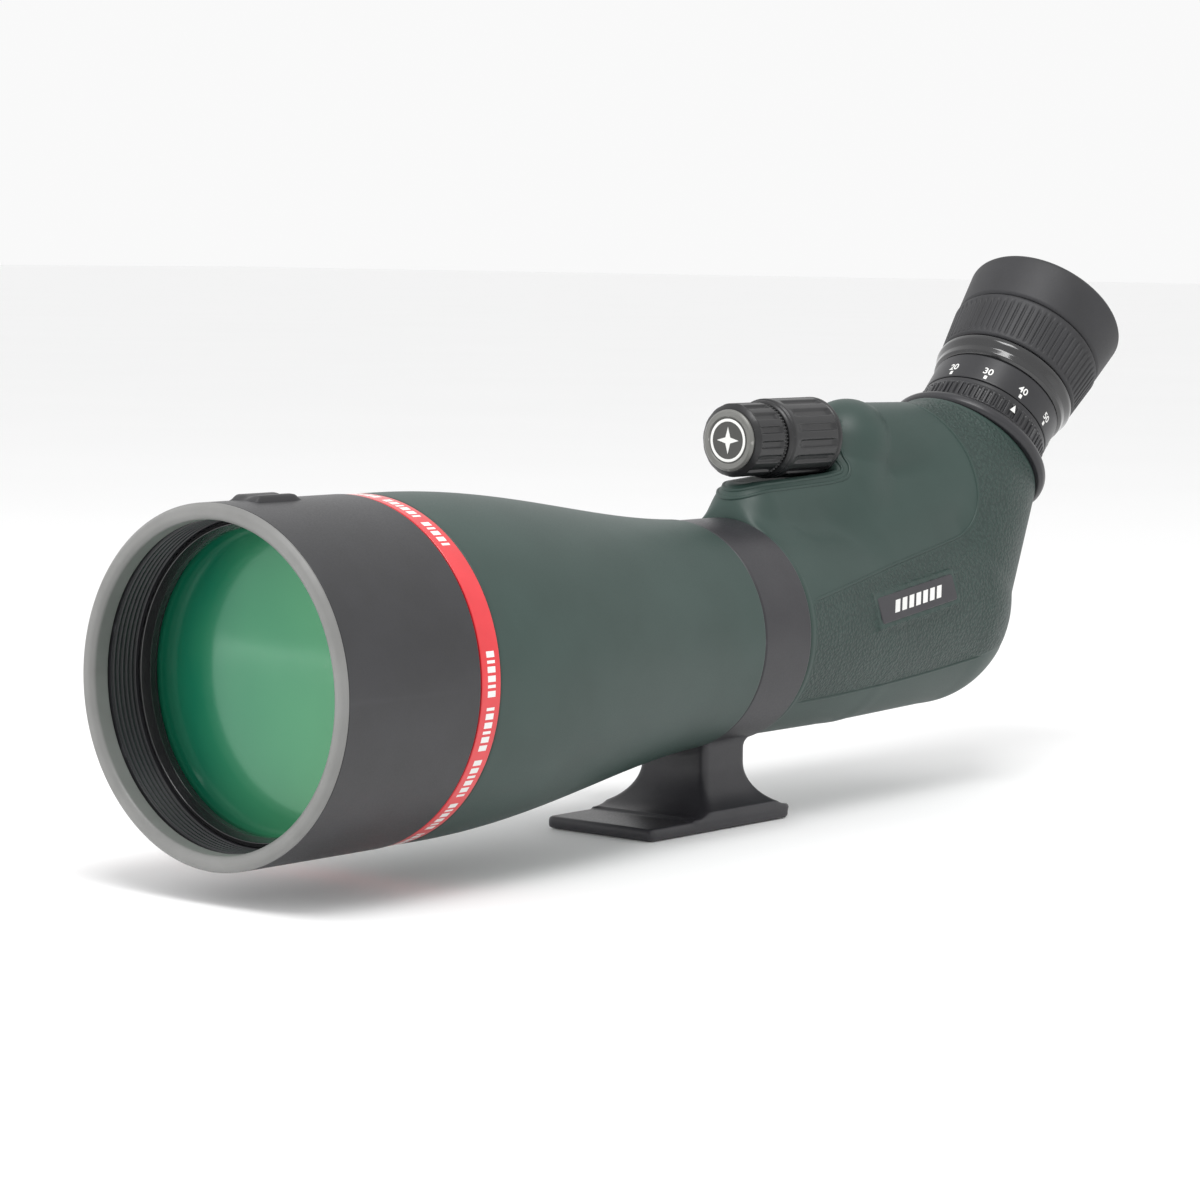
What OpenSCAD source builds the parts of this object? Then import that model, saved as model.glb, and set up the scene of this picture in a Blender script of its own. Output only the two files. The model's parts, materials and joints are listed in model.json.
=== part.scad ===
// Angled zoom spotting scope on a tripod collar, as an assembly of separate pieces.
// Origin: mouth of the tripod thread in the underside of the foot. +X runs along the optical
// axis from the objective towards the eyepiece, +Z is up. Millimetres.

/* [Objective] */
// Clear diameter of the objective lens
aperture_d = 80; // [70:1:84]
// Depth of the lens edge behind the front of the sunshade
lens_depth = 22; // [20:0.5:26]
// Wall of the tube that holds the lenses
objective_wall = 1.8; // [1.4:0.1:2.4]
// Number of grooves cut inside the mouth of the lens tube
groove_count = 6; // [3:1:6]

/* [Sunshade] */
// Length of the sliding sunshade
shade_len = 51.5; // [46:0.5:62]
// Wall of the sunshade tube
shade_wall = 2.4; // [1.8:0.1:3]
// Length of the lip ring at the mouth of the sunshade
rim_len = 6; // [4:0.5:6.2]

/* [Barrel] */
// Length of the tapering barrel
barrel_len = 132; // [110:1:160]
// Diameter of the barrel at its narrow end
neck_d = 66.7; // [64:0.5:72]
// Width of the coloured trim ring
trim_w = 7.4; // [5:0.2:10]
// Thickness of the rubber armour
armour = 1.8; // [1.2:0.1:2.4]
// Wall of the casting under the armour
shell_wall = 2.2; // [1.8:0.1:2.8]

/* [Collar and foot] */
// Height of the optical axis over the foot's underside
axis_h = 55.5; // [52:0.5:70]
// Width of the collar ring along the barrel
collar_w = 23; // [18:0.5:28]
// Outer diameter of the collar ring
collar_d = 66.4; // [65:0.2:70]
// Outer diameter of the neck tube that the collar turns on
bearing_d = 60; // [56:0.5:60]
// Length of the foot plate
foot_len = 66; // [50:1:80]
// Width of the foot plate
foot_w = 38.8; // [34:0.2:50]
// Thickness of the foot plate at its edge
foot_t = 3.6; // [3:0.2:5]
// Length of the column over the foot, along the barrel
column_len = 20; // [16:0.5:24]
// Width of the column over the foot, across the barrel
column_w = 24; // [18:0.5:28]
// Diameter of the tripod screw (1/4 inch)
tripod_screw_d = 6.35; // [6.35:0.01:9.6]
// Depth of the tripod thread
tripod_screw_depth = 9; // [6:0.5:10]

/* [Prism housing] */
// Radius of the housing where it meets the collar
housing_r = 32.4; // [31.5:0.1:35]
// Distance from the housing's front face to the point where the axes cross
elbow_len = 80.4; // [78:0.2:90]
// Height of the housing's ridge over the optical axis
ridge_h = 68; // [66:0.5:74]
// Side of the square glass face of the prism
prism_face = 34; // [28:0.5:36]

/* [Focus knobs] */
// Height of the knobs' axis over the optical axis
knob_h = 56; // [55:0.5:62]
// Diameter of the coarse knob
coarse_d = 24; // [20:0.5:25]
// Length of the coarse knob
coarse_len = 26; // [20:0.5:28]
// Diameter of the fine knob
fine_d = 22; // [17:0.5:23]
// Length of the fine knob
fine_len = 15; // [10:0.5:18]

/* [Eyepiece] */
// Angle between the eyepiece and the barrel
ep_angle = 45; // [45:1:45]
// Distance from the crossing of the axes to the eyepiece seat
seat_dist = 67; // [65:0.5:72]
// Outer diameter of the seat flange
seat_d = 54.4; // [52:0.2:58]
// Outer diameter of the dial ring
dial_d = 43.6; // [42:0.2:46]
// Outer diameter of the eyecup at its open end
eyecup_d = 53.2; // [50:0.2:58]
// Length of the eyecup
eyecup_len = 16.2; // [12:0.2:20]
// Turn of the zoom ring from one end to the other, in degrees
zoom_turn = 150; // [90:5:160]

/* [Hidden] */

$fn = 96;
smooth_fn = 24;      // facets of the rounded bodies that are hulled together
gap = 0.3;           // between faces that move past each other
run = 0.08;          // radial clearance of a running fit
seat = 0.05;         // radial clearance of a fixed fit
skin_gap = 0.15;     // between a casting and the rubber moulded over it

// Stations along the optical axis, from the collar outwards
collar_x = 2;
collar_front_x = collar_x - collar_w / 2;
collar_rear_x = collar_x + collar_w / 2;
barrel_rear_x = collar_front_x - gap;
barrel_front_x = barrel_rear_x - barrel_len;
trim_front_x = barrel_front_x - trim_w;
shade_rear_x = trim_front_x - gap;
shade_front_x = shade_rear_x - shade_len;
housing_front_x = collar_rear_x + gap;
elbow_x = housing_front_x + elbow_len;

// Objective end, from the glass outwards
lens_r = aperture_d / 2 + 1.6;
tube_in_r = lens_r + 1;
tube_r = tube_in_r + objective_wall - 0.8;
flange_r = tube_in_r + objective_wall;
shade_in_r = flange_r + gap;
shade_r = shade_in_r + shade_wall;
rim_in_r = aperture_d / 2 + 2.7;
mouth_x = shade_front_x + rim_len + 0.5;
lens_x = shade_front_x + lens_depth;
retainer_len = 5.4;
groove_pitch = (lens_depth - retainer_len - rim_len - 0.5) / (groove_count + 0.5);
front_lens_edge = 4;
lens_gap = 1.2;
rear_lens_edge = 7;
lens_stack = front_lens_edge + lens_gap + rear_lens_edge;
thread_len = 16;

// Barrel outline: a half wave of a cosine from the wide end to the neck
barrel_r = shade_r - 0.2;
neck_r = neck_d / 2;
shoulder_len = 7;
wave_len = barrel_len + shoulder_len;
function barrel_at(x) = let (a = x - shoulder_len)
    a <= 0 ? barrel_r
    : (barrel_r + neck_r) / 2 + (barrel_r - neck_r) / 2 * cos(180 * min(1, a / wave_len));
barrel_steps = 24;
bearing_r = bearing_d / 2;
spigot_r = bearing_r - 0.8;
spigot_len = 12;
neck_in_r = bearing_r - 3.5;
screw_r = bearing_r - 1.5;
screw_len = 13;

// Foot column
column_in_r = 13.5;
column_z = 17.5;

// Prism housing
casting = shell_wall + 0.3;
knob_z = axis_h + knob_h;
recess_x = housing_front_x + 43.5;
recess_r = coarse_d / 2 + 1;
half_prism = prism_face / 2;
prism_x = elbow_x - 24.2;

// Focus train
screw_shaft_r = 3;
fine_shaft_r = 1.5;
rod_r = 1.5;
rod_y = 15;
cell_x = recess_x - 3.3;
cell_len = 8;
cell_r = 20;

// Eyepiece stations, along its own axis from the seat
seat_len = 6;
lock_u = seat_len;
lock_len = 8;
dial_u = lock_u + lock_len + gap;
dial_len = 10.2;
collar_u = dial_u + dial_len;
collar_len = 7.5;
grip_u = collar_u + collar_len;
grip_len = 16.5;
cup_u = grip_u + grip_len + gap;
ep_tube_r = 17.5;
ep_bore_r = 15.5;
cam_in_r = ep_tube_r + run;
cam_r = 19.2;
dial_r = dial_d / 2;
cup_r = eyecup_d / 2;
cam_u = dial_u + 0.3;
front_throw = 4;
rear_throw = 2.5;
pin_r = 1.2;
pin_play = 0.3;
front_cell_u = 6;
front_cell_len = 18;
rear_cell_u = 31;
rear_cell_len = 11;
front_pin_u = 21.5;
rear_pin_u = 38.5;
cup_bore_len = 8;

// ---------------------------------------------------------------- helpers

module on_axis(x) translate([x, 0, axis_h]) rotate([0, 90, 0]) children();

module on_knob(x) translate([x, 0, knob_z]) rotate([0, 90, 0]) children();

module on_eyepiece(u) translate([elbow_x, 0, axis_h]) rotate([0, ep_angle, 0])
    translate([0, 0, seat_dist + u]) children();

module ring(r_out, r_in, len) rotate_extrude() translate([r_in, 0]) square([r_out - r_in, len]);

// Ring with both outer edges chamfered
module soft_ring(r_out, r_in, len, c) rotate_extrude()
    polygon([[r_in, 0], [r_out - c, 0], [r_out, c], [r_out, len - c], [r_out - c, len], [r_in, len]]);

// Outline with straight ribs, for knobs and grips
function ribbed(n, r, depth, share) = [for (i = [0 : n - 1], k = [0 : 3])
    let (step = 360 / n, at = [0, share * 0.8, share, share + (1 - share) * 0.8][k],
         rr = k < 2 ? r : r - depth)
    rr * [cos(step * (i + at)), sin(step * (i + at))]];

// Sag of a spherical face of radius big, at radius r from the axis
function sag(big, r) = big - sqrt(big * big - r * r);

// Lens with front and back faces of the given radii, positive where the centre lies towards +z.
// A radius of 0 is flat. The edge runs from z = 0 to z = edge.
lens_steps = 10;
lens_rim = 1.7;
function lens_face(big, r, z0) = [for (i = [0 : lens_steps])
    let (q = (r - lens_rim) * i / lens_steps,
         s = big == 0 ? 0 : sign(big) * (sag(abs(big), q) - sag(abs(big), r - lens_rim)))
    [q, z0 + s]];
module lens(r, edge, front, back) rotate_extrude()
    polygon(concat(lens_face(front, r, 0), [[r, 0], [r, edge]],
        [for (i = [lens_steps : -1 : 0]) lens_face(back, r, edge)[i]]));

// ---------------------------------------------------------------- tripod collar, the fixed body

function arc(cx, cz, r, a0, a1, n) = [for (i = [0 : n]) let (a = a0 + (a1 - a0) * i / n)
    [cx + r * cos(a), cz + r * sin(a)]];

// Side outline of the foot: a long toe in front, a short heel behind
module foot_side() {
    half = column_len / 2;
    heel = 22.4;
    toe = heel - foot_len;
    heel_a = acos(max(-1, min(1, -(heel - half - column_in_r) / column_in_r)));
    polygon(concat(
        [[toe, 0], [heel, 0], [heel, foot_t]],
        arc(half + column_in_r, column_z, column_in_r, 180 + min(85, heel_a), 180, 8),
        [[collar_rear_x - 1, axis_h - collar_d / 2 + 3], [collar_front_x + 1, axis_h - collar_d / 2 + 3]],
        arc(-half - column_in_r, column_z, column_in_r, 0, -65, 8),
        [[toe, foot_t]]));
}

// Front outline of the foot, the same on both sides
module foot_front() {
    half = foot_w / 2;
    flare_x = column_w / 2 + column_in_r;
    side = arc(flare_x, column_z, column_in_r, 180, 180 + acos((flare_x - half) / column_in_r), 8);
    top = [[column_w / 2 + 1.5, axis_h - collar_d / 2 + 6]];
    right = concat(top, side, [[half, 0]]);
    polygon(concat(right, [for (i = [len(right) - 1 : -1 : 0]) [-right[i][0], right[i][1]]]));
}

lock_r = 8;
lock_boss_r = 6.5;
lock_hole_r = 3;
lock_head_y = collar_d / 2 + 4;
bush_r = tripod_screw_d / 2 + 1.6;

module on_lock(y) translate([collar_x, y, axis_h]) rotate([-90, 0, 0]) children();

module tripod_collar() color([0.09, 0.09, 0.1]) difference() {
    union() {
        on_axis(collar_front_x) soft_ring(collar_d / 2, bearing_r + run, collar_w, 0.5);
        intersection() {
            translate([0, foot_w / 2, 0]) rotate([90, 0, 0]) linear_extrude(foot_w) foot_side();
            translate([-foot_len, 0, 0]) rotate([90, 0, 90]) linear_extrude(2 * foot_len) foot_front();
        }
        on_lock(bearing_r + 1) cylinder(r = lock_boss_r, h = lock_head_y - bearing_r - 1 - gap);
    }
    on_axis(collar_front_x - 1) cylinder(r = bearing_r + run, h = collar_w + 2);
    translate([0, 0, -1]) cylinder(r = bush_r + seat, h = tripod_screw_depth + 1.5);
    on_lock(0) cylinder(r = lock_hole_r + run, h = lock_head_y + 1);
    on_lock(bearing_r - 1) cylinder(r = pad_r + run, h = pad_len + 1 + 0.4);
}

module tripod_thread_bush() color([0.72, 0.6, 0.35])
    ring(bush_r, tripod_screw_d / 2, tripod_screw_depth);

pad_r = 3.8;
pad_len = 1.6;
pad_y = bearing_r + 0.25;
module collar_brake_pad() color([0.85, 0.84, 0.78])
    on_lock(pad_y) cylinder(r = pad_r, h = pad_len);

module collar_lock_screw() color([0.55, 0.56, 0.58])
    on_lock(pad_y + pad_len + gap) cylinder(r = lock_hole_r, h = lock_head_y + 5 - pad_y - pad_len - gap);

module collar_lock_knob() color([0.05, 0.05, 0.055]) on_lock(lock_head_y) difference() {
    union() {
        cylinder(r = lock_boss_r, h = 2);
        translate([0, 0, 2]) linear_extrude(8) polygon(ribbed(12, lock_r, 0.9, 0.6));
        translate([0, 0, 10]) cylinder(r1 = lock_r - 0.9, r2 = lock_r - 2.2, h = 1.2);
    }
    translate([0, 0, -1]) cylinder(r = lock_hole_r + seat, h = 6);
}

// ---------------------------------------------------------------- barrel

module barrel_skin(out, in, bore_r, bore_len) {
    last = barrel_len;
    outer = [for (i = [0 : barrel_steps]) let (x = last * i / barrel_steps) [barrel_at(x) - out, x]];
    inner = [for (i = [barrel_steps : -1 : 0]) let (x = last * i / barrel_steps)
        [x > last - bore_len ? bore_r : barrel_at(x) - in, x]];
    rotate_extrude() polygon(concat(outer, inner));
}

module barrel_armour() color([0.2, 0.27, 0.25]) on_axis(barrel_front_x)
    barrel_skin(0, armour, neck_r, -1);

module barrel_shell() color([0.12, 0.12, 0.12]) difference() {
    on_axis(barrel_front_x) barrel_skin(armour + skin_gap, armour + shell_wall, spigot_r + seat, spigot_len);
    on_axis(barrel_front_x - 1) cylinder(r = tube_r - 0.8 + seat, h = thread_len + 1);
}

module trim_ring() color([0.75, 0.08, 0.1]) on_axis(trim_front_x)
    soft_ring(barrel_r, tube_r + seat, trim_w - 0.05, 0.4);

// Knife-edged stop that keeps stray light off the prism, held at its rim
module baffle(at, hole_r) on_axis(barrel_front_x + at) rotate_extrude() {
    rim = barrel_at(at + 3) - armour - shell_wall - 0.1;
    polygon([[hole_r, 0], [rim, 0], [rim, 3], [rim - 1.2, 3], [rim - 1.2, 1], [hole_r + 1, 1]]);
}
module front_baffle() color([0.03, 0.03, 0.03]) baffle(barrel_len * 0.36, 31);
module rear_baffle() color([0.03, 0.03, 0.03]) baffle(barrel_len * 0.68, 25.5);

module neck_tube() color([0.3, 0.3, 0.31]) difference() {
    on_axis(barrel_rear_x - spigot_len) rotate_extrude() polygon([
        [neck_in_r, 0], [spigot_r, 0], [spigot_r, spigot_len], [bearing_r, spigot_len],
        [bearing_r, spigot_len + collar_w + 2 * gap], [screw_r, spigot_len + collar_w + 2 * gap],
        [screw_r, spigot_len + collar_w + 2 * gap + screw_len],
        [cell_r, spigot_len + collar_w + 2 * gap + screw_len],
        [cell_r, spigot_len + collar_w + 2 * gap + screw_len - 2.5],
        [neck_in_r, spigot_len + collar_w + 2 * gap + screw_len - 2.5]]);
    guide_rods(seat);
}

// ---------------------------------------------------------------- objective

module objective_tube() color([0.06, 0.06, 0.065]) on_axis(mouth_x) {
    front = lens_x - mouth_x;
    back = front + lens_stack;
    end = barrel_front_x + thread_len - mouth_x;
    grooves = [for (i = [0 : groove_count - 1], k = [0 : 3])
        [tube_in_r + [0, 0.5, 0.5, 0][k], groove_pitch * (i + [0.3, 0.45, 0.75, 0.9][k])]];
    rotate_extrude() polygon(concat(
        [[tube_in_r, 0]], grooves,
        [[tube_in_r, back], [aperture_d / 2, back], [aperture_d / 2, back + 2], [tube_in_r - 0.6, back + 4],
         [tube_in_r - 0.6, end], [tube_r - 0.8, end], [tube_r - 0.8, end - thread_len],
         [tube_r, end - thread_len], [tube_r, 3.5], [flange_r, 3.5], [flange_r, 0.4], [flange_r - 0.4, 0]]));
}

module objective_retaining_ring() color([0.03, 0.03, 0.03]) on_axis(lens_x - retainer_len) rotate_extrude()
    polygon([[tube_in_r - seat, 0.6], [tube_in_r - seat, retainer_len - 1.5],
             [aperture_d / 2, retainer_len - 1.5], [aperture_d / 2, 2.6], [aperture_d / 2 + 1.2, 0]]);

module objective_o_ring() color([0.02, 0.02, 0.02]) on_axis(lens_x - 0.75)
    rotate_extrude() translate([lens_r - 0.2, 0]) circle(r = 0.7, $fn = 24);

module objective_front_lens() color([0.35, 0.75, 0.6]) on_axis(lens_x)
    lens(lens_r, front_lens_edge, 245, -220);

module objective_spacer() color([0.05, 0.05, 0.05]) on_axis(lens_x + front_lens_edge)
    ring(lens_r, lens_r - 0.9, lens_gap);

module objective_rear_lens() color([0.35, 0.75, 0.6]) on_axis(lens_x + front_lens_edge + lens_gap)
    lens(lens_r, rear_lens_edge, -225, -700);

// ---------------------------------------------------------------- sunshade, sliding

module sunshade_tube() color([0.1, 0.1, 0.11]) on_axis(shade_front_x + 2) rotate_extrude()
    polygon([[shade_in_r, 0], [shade_r, 0], [shade_r, shade_len - 2.6], [shade_r - 0.6, shade_len - 2],
             [shade_in_r, shade_len - 2]]);

// Lip that caps the mouth; its skirt sits inside the tube
module sunshade_rim() color([0.16, 0.16, 0.16]) on_axis(shade_front_x) rotate_extrude()
    polygon([[rim_in_r, 0.6], [rim_in_r + 0.6, 0], [shade_r - 1, 0], [shade_r, 1], [shade_r, 2],
             [shade_in_r - seat, 2], [shade_in_r - seat, rim_len], [rim_in_r, rim_len]]);

sight_x = shade_front_x + 12;
sight_len = 17;
module sunshade_sight() color([0.1, 0.1, 0.11]) difference() {
    translate([sight_x, 0, axis_h]) rotate([0, 90, 0]) rotate([0, 0, 180])
        intersection() {
            ring(shade_r + 1.6, shade_r + seat, sight_len);
            linear_extrude(height = sight_len) polygon([[0, 0], [60, -6], [60, 6]]);
        }
    translate([sight_x - 1, 0, axis_h + shade_r + 2.4]) rotate([0, 90, 0])
        cylinder(r = 1.8, h = sight_len + 2);
}

felt_x = shade_rear_x - 8.4;
module sunshade_felt() color([0.04, 0.04, 0.04]) on_axis(felt_x)
    ring(shade_in_r - seat, tube_r + run, 4.4);

module sunshade_stop_ring() color([0.25, 0.25, 0.26]) on_axis(shade_rear_x - 3.9)
    ring(shade_in_r - seat, tube_r + gap, 3.4);

// ---------------------------------------------------------------- prism housing

module blob(x, z, rx, ry, rz) translate([x, 0, axis_h + z]) scale([rx, ry, rz])
    sphere(r = 1, $fn = smooth_fn);

module seat_disc(in, len) on_eyepiece(-1 - in - len) cylinder(r = seat_d / 2 - 0.6 - in, h = len, $fn = 48);

// Outer form of the housing, taken in by a wall thickness on every side
module housing_form(in) {
    difference() {
        union() {
            hull() {
                on_axis(housing_front_x + in) cylinder(r = housing_r - in, h = 1, $fn = 64);
                blob(elbow_x + 17, 3, 34 - in, 31 - in, 35 - in);
                blob(elbow_x - 35, 0, 34 - in, 32.4 - in, 32 - in);
            }
            hull() {
                blob(elbow_x + 17, 3, 34 - in, 31 - in, 35 - in);
                blob(elbow_x - 18, ridge_h - 15, 15 - in, 14.5 - in, 15 - in);
                blob(elbow_x - 22, 20, 24 - in, 26 - in, 24 - in);
                seat_disc(in, 4);
            }
            hull() {
                for (y = [-1, 1]) {
                    translate([housing_front_x + 9, y * 6, axis_h + 36]) sphere(r = 9 - in, $fn = smooth_fn);
                    translate([recess_x, y * 6, axis_h + 38]) sphere(r = 10.5 - in, $fn = smooth_fn);
                }
                blob(elbow_x - 48, 12, 30 - in, 24 - in, 18 - in);
            }
        }
        on_knob(housing_front_x - 5) cylinder(r = recess_r + in, h = recess_x - housing_front_x + 5 + in);
        on_axis(housing_front_x - 40 + in) cylinder(r = 80, h = 40, $fn = 32);
    }
}

post_r = 3.4;
post_y = 12;
posts = [for (x = [prism_x + 6, prism_x + 26], y = [-post_y, post_y]) [x, y]];
cradle_t = 2;
plate_z = axis_h - half_prism - cradle_t;

module prism_housing() color([0.13, 0.13, 0.13]) difference() {
    housing_form(armour + skin_gap);
    difference() {
        housing_form(armour + casting);
        for (p = posts) translate([p[0], p[1], 0]) cylinder(r = post_r, h = plate_z, $fn = 24);
    }
    on_axis(housing_front_x - 1) cylinder(r = screw_r + seat, h = screw_len + 1.5);
    on_eyepiece(-14) cylinder(r = seat_spigot_r + seat, h = 20);
    on_knob(recess_x - 2) cylinder(r = gland_r + seat, h = 12);
    on_knob(recess_x) cylinder(r = screw_shaft_r + 0.6, h = 20);
    for (p = posts) translate([p[0], p[1], plate_z - 7]) cylinder(r = 1.1, h = 8, $fn = 32);
}

module housing_armour() color([0.2, 0.27, 0.25]) difference() {
    housing_form(0);
    housing_form(armour);
    on_axis(housing_front_x - 1) cylinder(r = housing_r - armour, h = 6);
    badges(seat);
    on_eyepiece(-14) cylinder(r = seat_spigot_r + seat, h = 20);
    on_knob(recess_x - 2) cylinder(r = gland_r + seat, h = 12);
}

// A plate on each flank, set in the armour
badge_len = 40;
badge_h = 8;
badge_t = 0.9;
badge_x = elbow_x - 44.7;
badge_z = 4.9;
badge_tilt = 7.4;
badge_lean = asin((badge_z + 2.6) / housing_r);
module badges(grow) for (y = [-1, 1])
    translate([badge_x, y * housing_r * cos(badge_lean), axis_h + badge_z])
        rotate([y * badge_lean, -badge_tilt, 0])
            translate([-grow, (y > 0 ? -0.3 : 0.3 - badge_t) - grow, -badge_h / 2 - grow])
                cube([badge_len + 2 * grow, badge_t + 2 * grow, badge_h + 2 * grow]);

module badge_plates() color([0.03, 0.03, 0.03]) badges(0);

exit_dist = 30;
function prism_outline() = let (
        c = [elbow_x + exit_dist * sin(ep_angle), exit_dist * cos(ep_angle)],
        low = c + half_prism * [cos(ep_angle), -sin(ep_angle)],
        high = c - half_prism * [cos(ep_angle), -sin(ep_angle)])
    [[prism_x, -half_prism], [low[0] - (low[1] + half_prism) * tan(ep_angle), -half_prism],
     low, high, [prism_x, half_prism + 3]];

module across(y, w) translate([0, y + w, axis_h]) rotate([90, 0, 0]) linear_extrude(w) children();

module roof_prism() color([0.7, 0.8, 0.8]) across(-half_prism, prism_face) polygon(prism_outline());

cheek = 1.4;
module prism_cradle() color([0.35, 0.35, 0.36]) difference() {
    union() {
        for (y = [-half_prism - cheek - seat, half_prism + seat]) {
            across(y, cheek) polygon(prism_outline());
            translate([prism_x - 1.6, y, plate_z]) cube([32, cheek, 4]);
            translate([prism_x - 1.6, y, plate_z]) cube([3, cheek, prism_face + 4]);
        }
        translate([prism_x - 1.6, -half_prism - cheek - seat, plate_z])
            cube([32, prism_face + 2 * cheek + 2 * seat, cradle_t - seat]);
        translate([prism_x - 1.6, -half_prism - cheek - seat, plate_z])
            cube([1.6 - seat, prism_face + 2 * cheek + 2 * seat, prism_face + 4]);
    }
    on_axis(prism_x - 5) cylinder(r = half_prism - 3, h = 6);
    guide_rods(seat);
    for (p = posts) translate([p[0], p[1], plate_z - 1]) cylinder(r = 1.5, h = 4.5, $fn = 24);
}

module cradle_screws() color([0.6, 0.6, 0.62]) for (p = posts) translate([p[0], p[1], plate_z])
    translate([0, 0, -5]) cylinder(r = 1, h = 5 + cradle_t, $fn = 24);

clamp_at = 22;
module prism_clamp() color([0.6, 0.6, 0.6]) {
    o = prism_outline();
    d = o[3] - o[4];
    slope = atan2(d[1], d[0]);
    translate([o[4][0], 0, axis_h + o[4][1]]) rotate([0, -slope, 0])
        translate([clamp_at, -half_prism - cheek, 0.02]) cube([9, prism_face + 2 * cheek, 1.2]);
}

// ---------------------------------------------------------------- focusing

gland_r = 6;
module focus_gland() color([0.45, 0.45, 0.46]) on_knob(recess_x + 0.2)
    soft_ring(gland_r, screw_shaft_r + run, 8, 0.3);

module focus_o_ring() color([0.02, 0.02, 0.02]) on_knob(recess_x + 9.1)
    rotate_extrude() translate([screw_shaft_r + 1, 0]) circle(r = 0.85, $fn = 24);

module guide_rods(grow) for (y = [-rod_y, rod_y])
    translate([housing_front_x + screw_len - 2.5, y, axis_h - rod_y]) rotate([0, 90, 0])
        cylinder(r = rod_r + grow, h = prism_x - housing_front_x - screw_len + 2.5 - seat, $fn = 32);

module focus_guide_rods() color([0.7, 0.7, 0.72]) guide_rods(0);

coarse_x = recess_x - gap - coarse_len;
fine_x = coarse_x - gap - fine_len;
module coarse_focus_knob() color([0.05, 0.05, 0.055]) on_knob(coarse_x) difference() {
    union() {
        cylinder(r = coarse_d / 2 - 0.6, h = coarse_len);
        translate([0, 0, 1.4]) linear_extrude(coarse_len - 5) polygon(ribbed(14, coarse_d / 2, 0.7, 0.62));
        translate([0, 0, coarse_len - 2.4]) cylinder(r = coarse_d / 2, h = 2.4);
    }
    translate([0, 0, -1]) cylinder(r = fine_shaft_r + run, h = coarse_len);
    translate([0, 0, coarse_len - 10]) cylinder(r = screw_shaft_r + seat, h = 11);
}

screw_end = 36;
module focus_screw() color([0.72, 0.72, 0.74]) on_knob(recess_x - gap - 10) difference() {
    cylinder(r = screw_shaft_r, h = screw_end + 10);
    translate([0, 0, -1]) cylinder(r = fine_shaft_r + run, h = 24);
}

module fine_focus_knob() color([0.05, 0.05, 0.055]) on_knob(fine_x) difference() {
    union() {
        cylinder(r = fine_d / 2 - 1, h = fine_len);
        translate([0, 0, 1.6]) linear_extrude(fine_len - 3) polygon(ribbed(14, fine_d / 2, 0.8, 0.6));
    }
    translate([0, 0, 5]) cylinder(r = fine_shaft_r + seat, h = fine_len);
}

cap_t = 1.2;
cap_r = fine_d / 2 - 1.8;
module fine_knob_cap() color([0.35, 0.35, 0.34]) on_knob(fine_x - cap_t) rotate_extrude()
    polygon([[0, 0.3], [cap_r - 2.6, 0.3], [cap_r - 2.2, 0], [cap_r - 0.6, 0],
        [cap_r, 0.6], [cap_r, cap_t], [0, cap_t]]);

module fine_shaft() color([0.7, 0.7, 0.72]) on_knob(fine_x + 5)
    cylinder(r = fine_shaft_r, h = recess_x - gap - 10 - fine_x - 5 + 20);

arm_x = recess_x + 15.3;
nut_x = arm_x + 4;
module focus_carriage() color([0.6, 0.5, 0.3]) difference() {
    union() {
        on_knob(nut_x) cylinder(r = 6, h = 8);
        translate([0, 4, 0]) rotate([90, 0, 0]) linear_extrude(8) polygon([
            [arm_x, knob_z - 8], [nut_x, knob_z - 3.5], [nut_x + 7, knob_z - 3.5],
            [nut_x + 7, knob_z - 7], [arm_x + 5, knob_z - 11], [arm_x + 5, axis_h + 29.5],
            [cell_x + cell_len, axis_h + 29.5], [cell_x + cell_len, axis_h + cell_r - 1],
            [cell_x + 1, axis_h + cell_r - 1], [cell_x + 1, axis_h + 35], [arm_x, axis_h + 35]]);
        on_axis(cell_x) cylinder(r = cell_r, h = cell_len);
        for (y = [-rod_y, rod_y]) translate([cell_x, y, axis_h - rod_y]) rotate([0, 90, 0])
            cylinder(r = 3.2, h = cell_len);
    }
    on_knob(nut_x - 1) cylinder(r = screw_shaft_r + run, h = 10);
    on_axis(cell_x - 1) cylinder(r = cell_r - 3, h = cell_len + 2);
    on_axis(cell_x + 1) cylinder(r = cell_r - 2 + seat, h = cell_len);
    for (y = [-rod_y, rod_y]) translate([cell_x - 1, y, axis_h - rod_y]) rotate([0, 90, 0])
        cylinder(r = rod_r + run, h = cell_len + 2, $fn = 32);
}

module focus_lens() color([0.7, 0.82, 0.85]) on_axis(cell_x + 1.02) lens(cell_r - 2, 6, -90, 120);

// ---------------------------------------------------------------- eyepiece, fixed pieces

seat_spigot_r = 21.5;
module eyepiece_seat() color([0.14, 0.14, 0.15]) on_eyepiece(0) rotate_extrude() polygon([
    [ep_tube_r + seat, -8], [seat_spigot_r, -8], [seat_spigot_r, -0.9], [seat_d / 2 - 1, -0.9],
    [seat_d / 2, 0.2], [seat_d / 2, 3], [seat_d / 2 - 1.6, 5], [dial_r + 0.4, seat_len],
    [ep_tube_r + seat, seat_len]]);

module eyepiece_o_ring() color([0.02, 0.02, 0.02]) on_eyepiece(-9.1)
    rotate_extrude() translate([ep_tube_r + 1.1, 0]) circle(r = 1, $fn = 24);

module eyepiece_lock_ring() color([0.1, 0.1, 0.11]) on_eyepiece(lock_u) difference() {
    union() {
        cylinder(r = dial_r - 0.3, h = lock_len);
        translate([0, 0, 0.6]) linear_extrude(4.6) polygon(ribbed(72, dial_r + 0.3, 0.6, 0.5));
    }
    translate([0, 0, -1]) cylinder(r = ep_tube_r + seat, h = lock_len + 2);
}

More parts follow.
